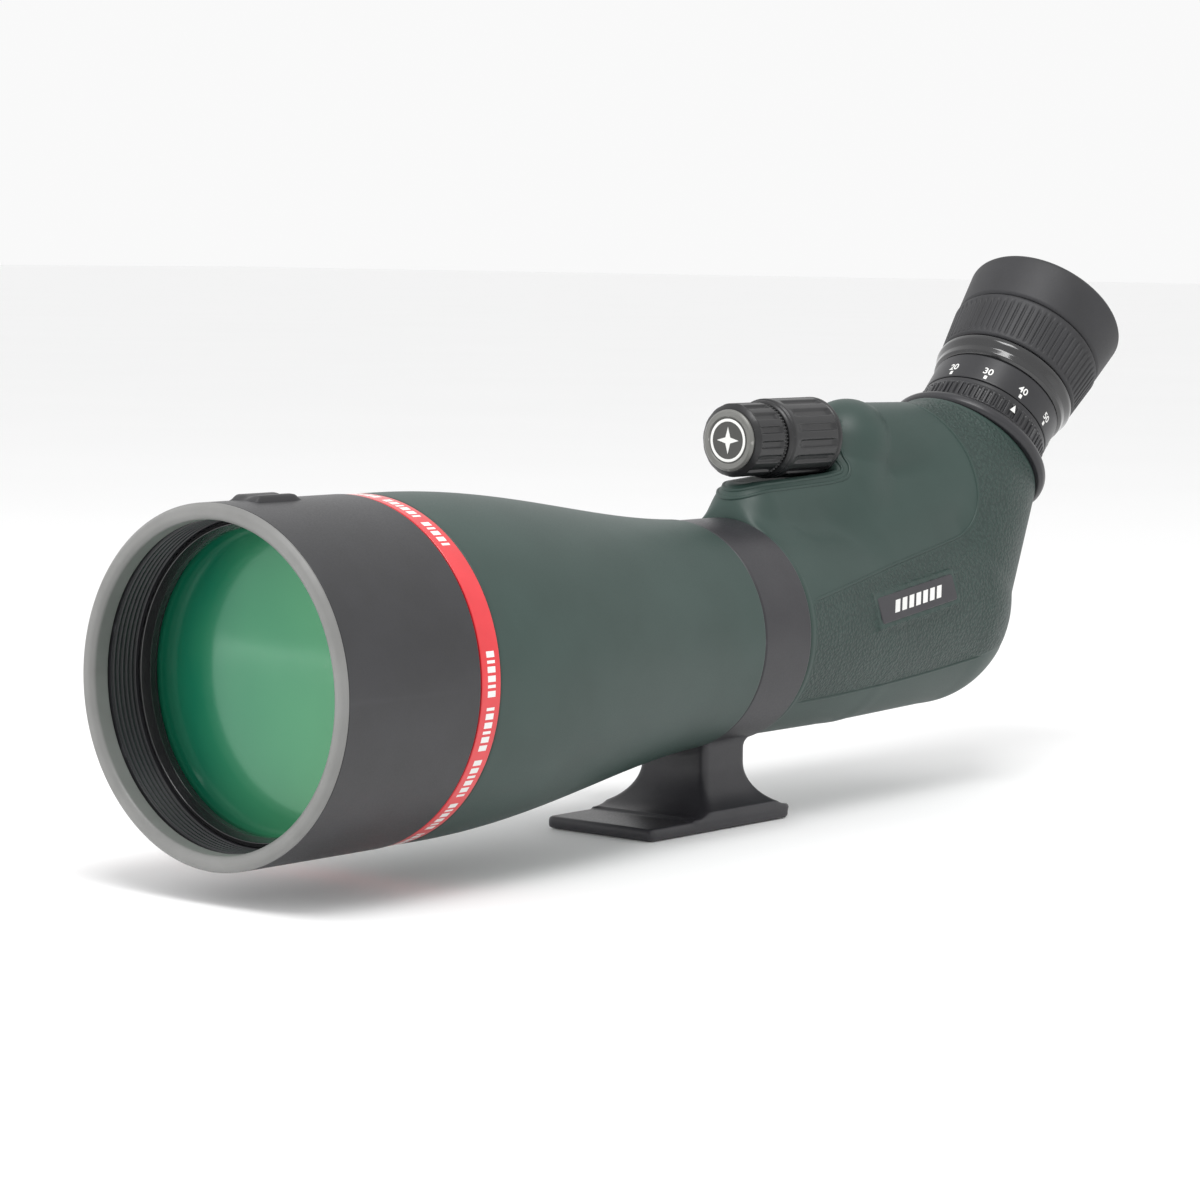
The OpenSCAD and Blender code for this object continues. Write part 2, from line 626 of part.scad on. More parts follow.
tube_low_u = -12;
tube_top_u = cup_u + 10.5;
module pin_slot(mid, throw) translate([0, -pin_r - pin_play / 2, mid - throw - pin_r - pin_play])
    cube([30, 2 * pin_r + pin_play, 2 * (throw + pin_r + pin_play)]);

module eyepiece_tube() color([0.05, 0.05, 0.05]) on_eyepiece(0) difference() {
    translate([0, 0, tube_low_u]) ring(ep_tube_r, ep_bore_r, tube_top_u - tube_low_u);
    pin_slot(front_pin_u, front_throw);
    pin_slot(rear_pin_u, rear_throw);
}

module eye_lens() color([0.55, 0.45, 0.7]) on_eyepiece(tube_top_u - 5) lens(ep_bore_r - seat, 3, 55, 0);

module eye_lens_retainer() color([0.05, 0.05, 0.05]) on_eyepiece(tube_top_u - 2) rotate_extrude()
    polygon([[14.3, 0.02], [ep_bore_r - seat, 0.02], [ep_bore_r - seat, 2.02], [ep_tube_r, 2.02],
             [ep_tube_r, 3], [14.8, 3]]);

// ---------------------------------------------------------------- eyepiece, turning zoom ring

module zoom_dial() color([0.06, 0.06, 0.065]) on_eyepiece(dial_u)
    soft_ring(dial_r, cam_r + seat, dial_len, 0.3);

module zoom_collar() color([0.04, 0.04, 0.045]) on_eyepiece(collar_u) rotate_extrude() polygon([
    [cam_r + seat, 0], [dial_r + 0.3, 0], [dial_r + 0.9, 0.8], [dial_r + 0.9, 3], [dial_r + 1.9, 4.6],
    [dial_r + 1.9, 6.6], [dial_r + 1.1, collar_len], [cam_r + seat, collar_len]]);

grip_ribs = 60;
grip_lean = atan2(cup_r - 1.2 - dial_r - 1.7, grip_len);
module zoom_grip() color([0.09, 0.09, 0.1]) on_eyepiece(grip_u) difference() {
    rotate_extrude() polygon([[cam_r + seat, 0], [dial_r + 1.2, 0], [dial_r + 1.7, 0.5],
        [cup_r - 1.2, grip_len - 0.6], [cup_r - 1.8, grip_len], [cam_r + seat, grip_len]]);
    for (i = [0 : grip_ribs - 1]) rotate([0, 0, i * 360 / grip_ribs])
        translate([dial_r + 1.7 - 0.55, -0.55, 1.6]) rotate([0, grip_lean, 0]) cube([3, 1.1, grip_len - 3.4]);
}

// Cam slot: a chain of holes along a helix, so a pin held straight is moved as the sleeve turns
cam_holes = 18;
cam_play = 0.65;
module cam_slot(mid, throw, way) for (i = [0 : cam_holes]) let (t = 2 * i / cam_holes - 1)
    translate([0, 0, mid + throw * t]) rotate([0, 90, -way * t * zoom_turn / 2])
        cylinder(r = pin_r + cam_play, h = 30, $fn = 24);

module zoom_cam_sleeve() color([0.5, 0.5, 0.5]) on_eyepiece(0) difference() {
    translate([0, 0, cam_u]) ring(cam_r, cam_in_r, grip_u + grip_len - cam_u - 0.5);
    cam_slot(front_pin_u, front_throw, 1);
    cam_slot(rear_pin_u, rear_throw, -1);
}

// ---------------------------------------------------------------- eyepiece, sliding lens groups

module zoom_cell(u, len, pin_u) on_eyepiece(u) {
    difference() {
        cylinder(r = ep_bore_r - run, h = len);
        translate([0, 0, -1]) cylinder(r = 12.2, h = len + 2);
        translate([0, 0, 1]) cylinder(r = 13.4, h = len);
    }
    translate([ep_bore_r - 1, 0, pin_u - u]) rotate([0, 90, 0])
        cylinder(r = pin_r, h = cam_r - ep_bore_r + 0.65, $fn = 32);
}
module front_zoom_cell() color([0.3, 0.3, 0.31])
    zoom_cell(front_cell_u, front_cell_len, front_pin_u);
module front_zoom_lens() color([0.6, 0.7, 0.85]) on_eyepiece(front_cell_u + 1.02) lens(13.35, 5, -70, 70);
module rear_zoom_cell() color([0.3, 0.3, 0.31])
    zoom_cell(rear_cell_u, rear_cell_len, rear_pin_u);
module rear_zoom_lens() color([0.6, 0.7, 0.85]) on_eyepiece(rear_cell_u + 1.02) lens(13.35, 6, 60, -60);

// ---------------------------------------------------------------- eyecup, sliding out

cup_skin = 1.7;
cup_foot_r = cup_r - 1.4;
module eyecup_sleeve() color([0.2, 0.2, 0.21]) on_eyepiece(cup_u) rotate_extrude() polygon([
    [ep_tube_r + run, 0.4], [ep_tube_r + run + 0.4, 0], [cup_foot_r - cup_skin - seat, 0],
    [cup_r - cup_skin - seat, eyecup_len - 2.5], [cup_r - cup_skin - 1.5, eyecup_len - 2.5],
    [cup_r - cup_skin - 3.4, cup_bore_len + 1.6], [ep_tube_r + run, cup_bore_len]]);

module eyecup() color([0.08, 0.08, 0.085]) on_eyepiece(cup_u) rotate_extrude() polygon([
    [cup_foot_r - cup_skin, 0], [cup_foot_r - 0.5, 0], [cup_foot_r, 0.6], [cup_r, eyecup_len - 0.8],
    [cup_r - 0.6, eyecup_len], [cup_r - 2.2, eyecup_len], [cup_r - 3.4, eyecup_len - 1.2],
    [cup_r - 3.4, eyecup_len - 2.45], [cup_r - cup_skin, eyecup_len - 2.45]]);

// ---------------------------------------------------------------- output

tripod_collar();
tripod_thread_bush();
collar_brake_pad();
collar_lock_screw();
collar_lock_knob();
neck_tube();
barrel_shell();
barrel_armour();
trim_ring();
front_baffle();
rear_baffle();
objective_tube();
objective_retaining_ring();
objective_front_lens();
objective_spacer();
objective_rear_lens();
objective_o_ring();
sunshade_tube();
sunshade_rim();
sunshade_sight();
sunshade_felt();
sunshade_stop_ring();
prism_housing();
housing_armour();
badge_plates();
roof_prism();
prism_cradle();
prism_clamp();
cradle_screws();
focus_gland();
focus_o_ring();
focus_guide_rods();
coarse_focus_knob();
focus_screw();
fine_focus_knob();
fine_knob_cap();
fine_shaft();
focus_carriage();
focus_lens();
eyepiece_seat();
eyepiece_o_ring();
eyepiece_lock_ring();
eyepiece_tube();
eye_lens();
eye_lens_retainer();
zoom_dial();
zoom_collar();
zoom_grip();
zoom_cam_sleeve();
front_zoom_cell();
front_zoom_lens();
rear_zoom_cell();
rear_zoom_lens();
eyecup_sleeve();
eyecup();
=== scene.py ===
"""Looks of the spotting scope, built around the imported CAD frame. Lengths are in millimetres in the
working functions and become metres when a mesh is made."""
import json
import math

import bmesh
import bpy
import numpy as np
from mathutils import Matrix, Vector

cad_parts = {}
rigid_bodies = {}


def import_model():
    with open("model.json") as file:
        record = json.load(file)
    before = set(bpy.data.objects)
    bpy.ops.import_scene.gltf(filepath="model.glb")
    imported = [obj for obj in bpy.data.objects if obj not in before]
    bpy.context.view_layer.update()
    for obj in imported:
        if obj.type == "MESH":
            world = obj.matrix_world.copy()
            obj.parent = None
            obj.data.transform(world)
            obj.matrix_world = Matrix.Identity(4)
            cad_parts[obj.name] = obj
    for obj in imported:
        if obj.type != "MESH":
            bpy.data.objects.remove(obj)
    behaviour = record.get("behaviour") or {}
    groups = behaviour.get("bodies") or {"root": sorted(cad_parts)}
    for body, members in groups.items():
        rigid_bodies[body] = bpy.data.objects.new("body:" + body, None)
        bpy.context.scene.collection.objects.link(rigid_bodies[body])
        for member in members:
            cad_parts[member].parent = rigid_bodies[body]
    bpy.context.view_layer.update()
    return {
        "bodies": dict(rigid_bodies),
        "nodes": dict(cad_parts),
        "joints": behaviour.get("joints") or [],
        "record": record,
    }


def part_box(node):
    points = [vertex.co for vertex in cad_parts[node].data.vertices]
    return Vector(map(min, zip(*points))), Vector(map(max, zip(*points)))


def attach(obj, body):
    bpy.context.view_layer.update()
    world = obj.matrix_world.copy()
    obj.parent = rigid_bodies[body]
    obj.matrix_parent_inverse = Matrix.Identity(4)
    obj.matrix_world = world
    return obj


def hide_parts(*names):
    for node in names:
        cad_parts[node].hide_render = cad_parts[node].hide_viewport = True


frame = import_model()
nodes = frame["nodes"]
slots = {s["node"]: s["material_slot"] for s in frame["record"]["subparts"]}
joints = {j["name"]: j for j in frame["joints"]}
MM = 0.001
TAU = 2 * math.pi
MERGE = 1e-7
DIAGONAL = 0.7071


# ---- places, from the frame

def low(node):
    return np.array(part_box(node)[0]) / MM


def high(node):
    return np.array(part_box(node)[1]) / MM


axis_z = (low("barrel_armour")[2] + high("barrel_armour")[2]) / 2
barrel_x0, barrel_x1 = low("barrel_armour")[0], high("barrel_armour")[0]
barrel_r = (high("barrel_armour")[1] - low("barrel_armour")[1]) / 2
trim_x0, trim_x1 = low("trim_ring")[0], high("trim_ring")[0]
shade_x0 = low("sunshade_rim")[0]
shade_x1 = high("sunshade_tube")[0]
shade_r = high("sunshade_tube")[1]
mouth_x = low("objective_tube")[0]
lens_x = low("objective_front_lens")[0]
housing_x0 = low("housing_armour")[0]
housing_r = -low("housing_armour")[1]
knob_z = (low("coarse_focus_knob")[2] + high("coarse_focus_knob")[2]) / 2
coarse_x0, coarse_x1 = low("coarse_focus_knob")[0], high("coarse_focus_knob")[0]
coarse_r = high("coarse_focus_knob")[1]
fine_x0, fine_x1 = low("fine_focus_knob")[0], high("fine_focus_knob")[0]
fine_r = high("fine_focus_knob")[1]
cap_x0 = low("fine_knob_cap")[0]
cap_r = high("fine_knob_cap")[1]
eye_dir = Vector(joints["zoom_turn"]["axis"]).normalized()
eye_point = Vector(joints["zoom_turn"]["pos_m"]) / MM


def matrix_along(origin, direction, side):
    """Frame whose z is direction and whose x is nearest to side."""
    z = Vector(direction).normalized()
    x = (Vector(side) - Vector(side).dot(z) * z).normalized()
    y = z.cross(x)
    m = Matrix((x, y, z)).transposed().to_4x4()
    m.translation = Vector(origin)
    return m


def span_on(node, m):
    """Lowest and highest place of a node along a frame's z, and its largest radius about it."""
    inv = m.inverted()
    co = np.array([inv @ (v.co / MM) for v in nodes[node].data.vertices])
    return co[:, 2].min(), co[:, 2].max(), np.hypot(co[:, 0], co[:, 1]).max()


barrel_frame = matrix_along((0, 0, axis_z), (1, 0, 0), (0, 0, 1))
knob_frame = matrix_along((0, 0, knob_z), (1, 0, 0), (0, 0, 1))
eye_frame = matrix_along(eye_point, eye_dir, (1, 0, -1))


# ---- mesh tools

def make(name, verts, faces, body, material, smooth_angle=40, weighted=True):
    mesh = bpy.data.meshes.new(name)
    mesh.from_pydata((np.asarray(verts, float) * MM).tolist(), [], [list(f) for f in faces])
    mesh.validate()
    mesh.update()
    mesh.shade_smooth()
    mesh.set_sharp_from_angle(angle=math.radians(smooth_angle))
    obj = bpy.data.objects.new(name, mesh)
    bpy.context.scene.collection.objects.link(obj)
    mesh.materials.append(material)
    if weighted:
        mod = obj.modifiers.new("weighted_normals", "WEIGHTED_NORMAL")
        mod.keep_sharp = True
    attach(obj, body)
    return obj


def softened(outline, radius, steps=3):
    """Closed outline of (r, h) points with each corner rounded."""
    pts = [Vector(p) for p in outline]
    out = []
    for i, p in enumerate(pts):
        a, b = pts[i - 1], pts[(i + 1) % len(pts)]
        da, db = (a - p), (b - p)
        reach = min(radius, da.length * 0.45, db.length * 0.45)
        if reach < 0.02 or da.normalized().dot(db.normalized()) < -0.985:
            out.append(tuple(p))
            continue
        p0, p1 = p + da.normalized() * reach, p + db.normalized() * reach
        for k in range(steps + 1):
            t = k / steps
            q = p0 * (1 - t) ** 2 + p * 2 * t * (1 - t) + p1 * t ** 2
            out.append(tuple(q))
    return out


def lathe(name, outline, m, body, material, radius=0.25, turns=192, relief=None, solid=True):
    """Turned piece: a closed outline of (r, h) about the z of frame m. relief(angle, r, h) moves r.
    An outline that touches the axis closes there by itself."""
    pts = np.array(softened(outline, radius) if radius else outline, float)
    n = len(pts)
    angle = np.arange(turns) * TAU / turns
    rr = np.repeat(pts[:, :1], turns, 1)
    hh = np.repeat(pts[:, 1:], turns, 1)
    aa = np.repeat(angle[None, :], n, 0)
    if relief:
        rr = rr + relief(aa, rr, hh)
    local = np.stack([rr * np.cos(aa), rr * np.sin(aa), hh], -1).reshape(-1, 3)
    rot = np.array(m.to_3x3())
    verts = local @ rot.T + np.array(m.translation)
    j = np.arange(turns)
    k = (j + 1) % turns
    faces = []
    for i in range(n if solid else n - 1):
        i2 = (i + 1) % n
        if pts[i, 0] < 1e-6 and pts[i2, 0] < 1e-6:
            continue
        quad = np.stack([i * turns + j, i * turns + k, i2 * turns + k, i2 * turns + j], 1)
        faces.extend(quad.tolist())
    obj = make(name, verts, faces, body, material)
    fix_normals(obj, MERGE)
    return obj


def fix_normals(obj, merge=0.0):
    """Turns all faces outward, after joining points that lie nearer than merge metres."""
    bm = bmesh.new()
    bm.from_mesh(obj.data)
    if merge:
        bmesh.ops.remove_doubles(bm, verts=bm.verts, dist=merge)
    bmesh.ops.recalc_face_normals(bm, faces=bm.faces)
    bm.to_mesh(obj.data)
    bm.free()


def wave_ribs(count, depth, share=0.5, edge=6.0):
    """Rib profile around the axis: 0 on a rib, -depth in a groove, with rounded flanks."""
    def at(angle):
        phase = (angle * count / TAU) % 1.0
        d = np.abs(phase - 0.5) * 2
        return -depth / (1 + np.exp(-(d - share) * edge * 4))
    return at


def between(h, lo, hi, soft=0.4):
    """1 between lo and hi, 0 outside, with soft ends."""
    return 1 / (1 + np.exp(-(h - lo) / soft * 3)) / (1 + np.exp((h - hi) / soft * 3))


# ---- materials

def nodes_of(name):
    material = bpy.data.materials.new(name)
    material.use_nodes = True
    tree = material.node_tree
    return material, tree, tree.nodes["Principled BSDF"]


def link(tree, a, b):
    tree.links.new(a, b)


def put(node, **values):
    """Sets sockets by name, with _ for a space."""
    for name, value in values.items():
        node.inputs[name.replace("_", " ")].default_value = value


def feed(tree, socket, value):
    """Links a socket to an output, or sets it to a number or a colour."""
    if hasattr(value, "is_linked"):
        link(tree, value, socket)
    elif isinstance(value, (int, float)):
        socket.default_value = value
    else:
        socket.default_value = (*value, 1.0)


def noise(tree, coord, scale, detail=4.0, rough=0.55, stretch=None):
    n = tree.nodes.new("ShaderNodeTexNoise")
    put(n, Scale=scale, Detail=detail, Roughness=rough)
    source = coord
    if stretch:
        mapping = tree.nodes.new("ShaderNodeMapping")
        mapping.inputs["Scale"].default_value = stretch
        link(tree, coord, mapping.inputs["Vector"])
        source = mapping.outputs["Vector"]
    link(tree, source, n.inputs["Vector"])
    return n.outputs["Fac"]


def remap(tree, value, lo, hi, to_lo, to_hi):
    n = tree.nodes.new("ShaderNodeMapRange")
    put(n, From_Min=lo, From_Max=hi, To_Min=to_lo, To_Max=to_hi)
    link(tree, value, n.inputs["Value"])
    return n.outputs["Result"]


def mix_color(tree, fac, a, b):
    n = tree.nodes.new("ShaderNodeMix")
    n.data_type = "RGBA"
    for socket, value in ((n.inputs["Factor"], fac), (n.inputs[6], a), (n.inputs[7], b)):
        feed(tree, socket, value)
    return n.outputs[2]


def math_node(tree, op, a, b):
    n = tree.nodes.new("ShaderNodeMath")
    n.operation = op
    feed(tree, n.inputs[0], a)
    feed(tree, n.inputs[1], b)
    return n.outputs[0]


def bump(tree, height, strength, distance, normal=None):
    n = tree.nodes.new("ShaderNodeBump")
    put(n, Strength=strength, Distance=distance)
    link(tree, height, n.inputs["Height"])
    if normal is not None:
        link(tree, normal, n.inputs["Normal"])
    return n.outputs["Normal"]


def object_coord(tree):
    return tree.nodes.new("ShaderNodeTexCoord").outputs["Object"]


def surface(name, color, second, rough, rough_second, metallic=0.0, grain=2500, grain_depth=0.00003,
            blotch=60, coat=0.0, coat_rough=0.1, edge=0.0, stretch=None, specular=0.5):
    """A finish: two close colours mixed by broad noise, roughness that varies with it, a fine grain
    in the bump, and paler worn edges where edge is above 0."""
    material, tree, shader = nodes_of(name)
    coord = object_coord(tree)
    broad = noise(tree, coord, blotch, 3)
    fine = noise(tree, coord, grain, 5, 0.6, stretch)
    mixed = mix_color(tree, remap(tree, broad, 0.35, 0.65, 0, 1), color, second)
    if edge > 0:
        geo = tree.nodes.new("ShaderNodeNewGeometry")
        worn = remap(tree, geo.outputs["Pointiness"], 0.52, 0.6, 0, edge)
        mixed = mix_color(tree, worn, mixed, [min(1, 3 * c + 0.03) for c in color])
    link(tree, mixed, shader.inputs["Base Color"])
    link(tree, remap(tree, fine, 0.3, 0.7, rough, rough_second), shader.inputs["Roughness"])
    link(tree, bump(tree, fine, 0.6, grain_depth), shader.inputs["Normal"])
    put(shader, Metallic=metallic, Coat_Weight=coat, Coat_Roughness=coat_rough,
        Specular_IOR_Level=specular)
    return material


def armour_material(name, pebbled):
    """Dark green moulded rubber: fine satin grain, and pebbles where the mesh's pebble value is 1, with
    painted shade in the hollows between the pebbles.
    """
    material, tree, shader = nodes_of(name)
    coord = object_coord(tree)
    broad = noise(tree, coord, 35, 3)
    fine = noise(tree, coord, 3500, 4, 0.6)
    color = mix_color(tree, remap(tree, broad, 0.3, 0.7, 0, 1), (0.022, 0.044, 0.037), (0.029, 0.055, 0.047))
    rough = remap(tree, fine, 0.3, 0.7, 0.42, 0.52)
    normal = bump(tree, fine, 0.5, 0.00003)
    if pebbled:
        mask = tree.nodes.new("ShaderNodeAttribute")
        mask.attribute_name = "pebble"
        cells = tree.nodes.new("ShaderNodeTexVoronoi")
        cells.feature = "F1"
        cells.inputs["Scale"].default_value = 900
        cells.inputs["Randomness"].default_value = 1.0
        warp = noise(tree, coord, 900, 2)
        offset = tree.nodes.new("ShaderNodeVectorMath")
        offset.operation = "MULTIPLY_ADD"
        link(tree, warp, offset.inputs[0])
        offset.inputs[1].default_value = (0.0012, 0.0012, 0.0012)
        link(tree, coord, offset.inputs[2])
        link(tree, offset.outputs[0], cells.inputs["Vector"])
        dome = remap(tree, cells.outputs["Distance"], 0.0, 0.75, 1.0, 0.0)
        height = math_node(tree, "MULTIPLY", dome, mask.outputs["Fac"])
        normal = bump(tree, height, 1.0, 0.00034, normal)
        # Painted shade in the hollows between the pebbles, where each pebble's dome is low
        shade_between_pebbles = math_node(tree, "MULTIPLY", remap(tree, dome, 0.1, 0.6, 0.55, 0.0), mask.outputs["Fac"])
        color = mix_color(tree, shade_between_pebbles, color, (0.012, 0.024, 0.021))
    link(tree, color, shader.inputs["Base Color"])
    link(tree, rough, shader.inputs["Roughness"])
    link(tree, normal, shader.inputs["Normal"])
    shader.inputs["Specular IOR Level"].default_value = 0.45
    return material


def coated_glass(name, tint_in_painted_shade, tint_in_painted_light, m, reach, rough=0.12):
    """Coated lens: a deep reflective coating tint, with a painted reflection and shade that runs from a
    darker colour on one side to a lighter one on the other across the face.
    """
    material, tree, shader = nodes_of(name)
    coord = object_coord(tree)
    split = tree.nodes.new("ShaderNodeSeparateXYZ")
    link(tree, coord, split.inputs[0])
    centre = Vector(m.translation) * MM
    y = math_node(tree, "SUBTRACT", split.outputs["Y"], centre.y)
    # Painted reflection and shade: the colour runs from the darker side to the lighter side across the lens
    # face
    painted_reflection_run = remap(tree, y, reach * MM, -reach * MM, 0, 1)
    swirl = noise(tree, coord, 18, 2)
    blend = math_node(tree, "ADD", painted_reflection_run, remap(tree, swirl, 0.3, 0.7, -0.12, 0.12))
    ramp = tree.nodes.new("ShaderNodeValToRGB")
    ramp.color_ramp.elements[0].position = 0.15
    ramp.color_ramp.elements[0].color = (*tint_in_painted_shade, 1)
    ramp.color_ramp.elements[1].position = 0.85
    ramp.color_ramp.elements[1].color = (*tint_in_painted_light, 1)
    link(tree, blend, ramp.inputs["Fac"])
    link(tree, ramp.outputs["Color"], shader.inputs["Base Color"])
    dust = noise(tree, coord, 700, 3)
    link(tree, remap(tree, dust, 0.4, 0.8, rough, rough + 0.05), shader.inputs["Roughness"])
    put(shader, Metallic=0.12, Coat_Weight=0.2, Coat_Roughness=0.08)
    return material


def clear_glass(name, tint):
    material, tree, shader = nodes_of(name)
    coord = object_coord(tree)
    dust = noise(tree, coord, 500, 3)
    link(tree, remap(tree, dust, 0.4, 0.8, 0.0, 0.03), shader.inputs["Roughness"])
    link(tree, mix_color(tree, remap(tree, dust, 0.3, 0.7, 0, 0.2), tint, [c * 0.92 for c in tint]),
         shader.inputs["Base Color"])
    put(shader, Transmission_Weight=1.0, IOR=1.5)
    return material


M = {
    "green_rubber": armour_material("green_rubber", False),
    "green_pebbled": armour_material("green_pebbled", True),
    "black_paint": surface("black_paint", (0.022, 0.021, 0.025), (0.028, 0.027, 0.031), 0.34, 0.46,
                           grain=1600, grain_depth=0.00004, edge=0.25),
    "red_paint": surface("red_paint", (0.62, 0.012, 0.02), (0.7, 0.02, 0.03), 0.28, 0.36,
                         grain=1200, grain_depth=0.00001, coat=0.5),
    "white_ink": surface("white_ink", (0.82, 0.82, 0.8), (0.74, 0.74, 0.72), 0.45, 0.55, grain=2000,
                         grain_depth=0.00001),
    "black_anodised": surface("black_anodised", (0.018, 0.018, 0.02), (0.023, 0.023, 0.026), 0.3, 0.4,
                              grain=2600, grain_depth=0.000015, edge=0.3),
    "shade_black": surface("shade_black", (0.02, 0.02, 0.022), (0.025, 0.025, 0.028), 0.36, 0.46,
                           grain=1800, grain_depth=0.00003, edge=0.1),
    # Painted highlight: the sunshade's black rim is given a pale grey that stands for the front light's
    # reflection on its front face
    "rim_grey": surface("rim_grey", (0.17, 0.17, 0.165), (0.2, 0.2, 0.195), 0.38, 0.48,
                        grain=1500, grain_depth=0.00004),
    "matt_black": surface("matt_black", (0.006, 0.006, 0.006), (0.009, 0.009, 0.009), 0.75, 0.9,
                          grain=1800, grain_depth=0.00004, specular=0.2),
    "gloss_black": surface("gloss_black", (0.012, 0.012, 0.013), (0.016, 0.016, 0.017), 0.12, 0.2,
                           grain=900, grain_depth=0.000006, coat=0.6),
    "black_rubber": surface("black_rubber", (0.02, 0.02, 0.022), (0.027, 0.027, 0.03), 0.5, 0.62,
                            grain=3000, grain_depth=0.00004, edge=0.15),
    "knob_rubber": surface("knob_rubber", (0.01, 0.01, 0.011), (0.014, 0.014, 0.015), 0.3, 0.4,
                           grain=2400, grain_depth=0.00002, edge=0.2),
    "black_felt": surface("black_felt", (0.008, 0.008, 0.008), (0.014, 0.014, 0.014), 0.85, 1.0,
                          grain=5000, grain_depth=0.0001, specular=0.1),
    "clear_glass": clear_glass("clear_glass", (0.9, 0.97, 0.95)),
    "steel": surface("steel", (0.45, 0.45, 0.47), (0.55, 0.55, 0.57), 0.22, 0.35, metallic=1.0,
                     grain=1500, grain_depth=0.00001, stretch=(0.05, 1, 1)),
    "brass": surface("brass", (0.62, 0.43, 0.17), (0.7, 0.5, 0.22), 0.2, 0.34, metallic=1.0,
                     grain=1500, grain_depth=0.00001, stretch=(1, 1, 0.05)),
    "grey_metal": surface("grey_metal", (0.16, 0.16, 0.15), (0.2, 0.2, 0.19), 0.3, 0.42, metallic=0.3,
                          grain=1400, grain_depth=0.00001, edge=0.4),
    "cap_dark": surface("cap_dark", (0.05, 0.05, 0.047), (0.062, 0.062, 0.058), 0.35, 0.45,
                        grain=1400, grain_depth=0.00001),
    "white_plastic": surface("white_plastic", (0.7, 0.69, 0.64), (0.76, 0.75, 0.7), 0.45, 0.55,
                             grain=1500, grain_depth=0.00002),
}
M["coated_glass"] = coated_glass("coated_glass", (0.008, 0.14, 0.075), (0.075, 0.3, 0.14), barrel_frame, 40)
M["eye_glass"] = coated_glass("eye_glass", (0.03, 0.02, 0.06), (0.02, 0.06, 0.05), eye_frame, 15)

for node, slot in slots.items():
    nodes[node].data.materials.clear()
    nodes[node].data.materials.append(M[slot])


# ---- barrel and trim ring

def barrel_outline(steps=72):
    """Radius along the barrel, the CAD's half wave from the wide end to the neck."""
    length = barrel_x1 - barrel_x0
    shoulder, wave = 7, length + 7
    neck_end_r = 33.35
    out = []
    for i in range(steps + 1):
        x = length * i / steps
        a = max(0, x - shoulder)
        r = (barrel_r + neck_end_r) / 2 + (barrel_r - neck_end_r) / 2 * math.cos(math.pi * a / wave)
        out.append((r, barrel_x0 + x))
    return out


skin = 1.8
outer = barrel_outline()
outline = outer + [(r - skin, x) for r, x in reversed(outer)]
piece = lathe("barrel_rubber", outline, barrel_frame, "scope_tube",
              M["green_rubber"], 0.7, 256)
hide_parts("barrel_armour")

tube_r = 43.65
outline = [(tube_r, trim_x0), (barrel_r, trim_x0), (barrel_r, trim_x1), (tube_r, trim_x1)]
piece = lathe("trim_band", outline, barrel_frame, "scope_tube", M["red_paint"], 0.4, 256)
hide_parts("trim_ring")


def bar_on_ring(r, centre_angle, half_angle, h0, h1, thick, lean=0.0, steps=3):
    """Corners and faces of a thin raised bar that follows a ring."""
    verts, faces = [], []
    for i in range(steps + 1):
        a = centre_angle + half_angle * (2 * i / steps - 1)
        for rr in (r, r + thick):
            for h, shift in ((h0, -lean), (h1, lean)):
                verts.append((rr * math.cos(a + shift), rr * math.sin(a + shift), h))
    for i in range(steps):
        b = 4 * i
        faces += [(b + 2, b + 6, b + 7, b + 3), (b, b + 1, b + 5, b + 4),
                  (b, b + 4, b + 6, b + 2), (b + 1, b + 3, b + 7, b + 5)]
    last = 4 * steps
    faces += [(0, 2, 3, 1), (last, last + 1, last + 3, last + 2)]
    return verts, faces


def place(verts, m):
    return np.array(verts) @ np.array(m.to_3x3()).T + np.array(m.translation)


def joined(parts):
    verts, faces = [], []
    for v, f in parts:
        faces += [tuple(i + len(verts) for i in face) for face in f]
        verts += list(v)
    return verts, faces


def trim_marks():
    """Plain white bars in groups, where such a ring carries its printing."""
    parts = []
    mid = (trim_x0 + trim_x1) / 2
    widths = [1.6, 0.8, 1.6, 1.6, 0.8, 1.6]
    for start, count in ((79, 42), (-24, 26), (200, 42)):
        a = math.radians(start)
        for i in range(count):
            if i % 7 == 6:
                a += math.radians(2.4)
                continue
            w = widths[i % len(widths)] / barrel_r
            parts.append(bar_on_ring(barrel_r - 0.04, a + w / 2, w / 2, mid - 1.5, mid + 1.5, 0.07))
            a += w + math.radians(0.95)
    return joined(parts)


verts, faces = trim_marks()
make("trim_band_marks", place(verts, barrel_frame), faces, "scope_tube",
     M["white_ink"], 30, False)


# ---- sunshade

rim_in, shade_in, rim_len = 42.7, 44.7, 6.0
outline = [(shade_in, shade_x0 + 2.03), (shade_r, shade_x0 + 2.03), (shade_r, shade_x1 - 0.6),
           (shade_r - 0.6, shade_x1), (shade_in, shade_x1)]
piece = lathe("sunshade_shell", outline, barrel_frame, "sunshade",
              M["shade_black"], 0.2, 256)
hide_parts("sunshade_tube")
# The lip's pale grey is a painted reflection of the front light on a black rim
outline = [(rim_in, shade_x0 + 1.2), (rim_in + 1.3, shade_x0), (shade_r - 1.2, shade_x0),
           (shade_r, shade_x0 + 1.3), (shade_r, shade_x0 + 1.98), (shade_in - 0.05, shade_x0 + 2.0),
           (shade_in - 0.05, shade_x0 + rim_len), (rim_in, shade_x0 + rim_len)]
piece = lathe("sunshade_lip", outline, barrel_frame, "sunshade", M["rim_grey"], 0.6, 256)
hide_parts("sunshade_rim")


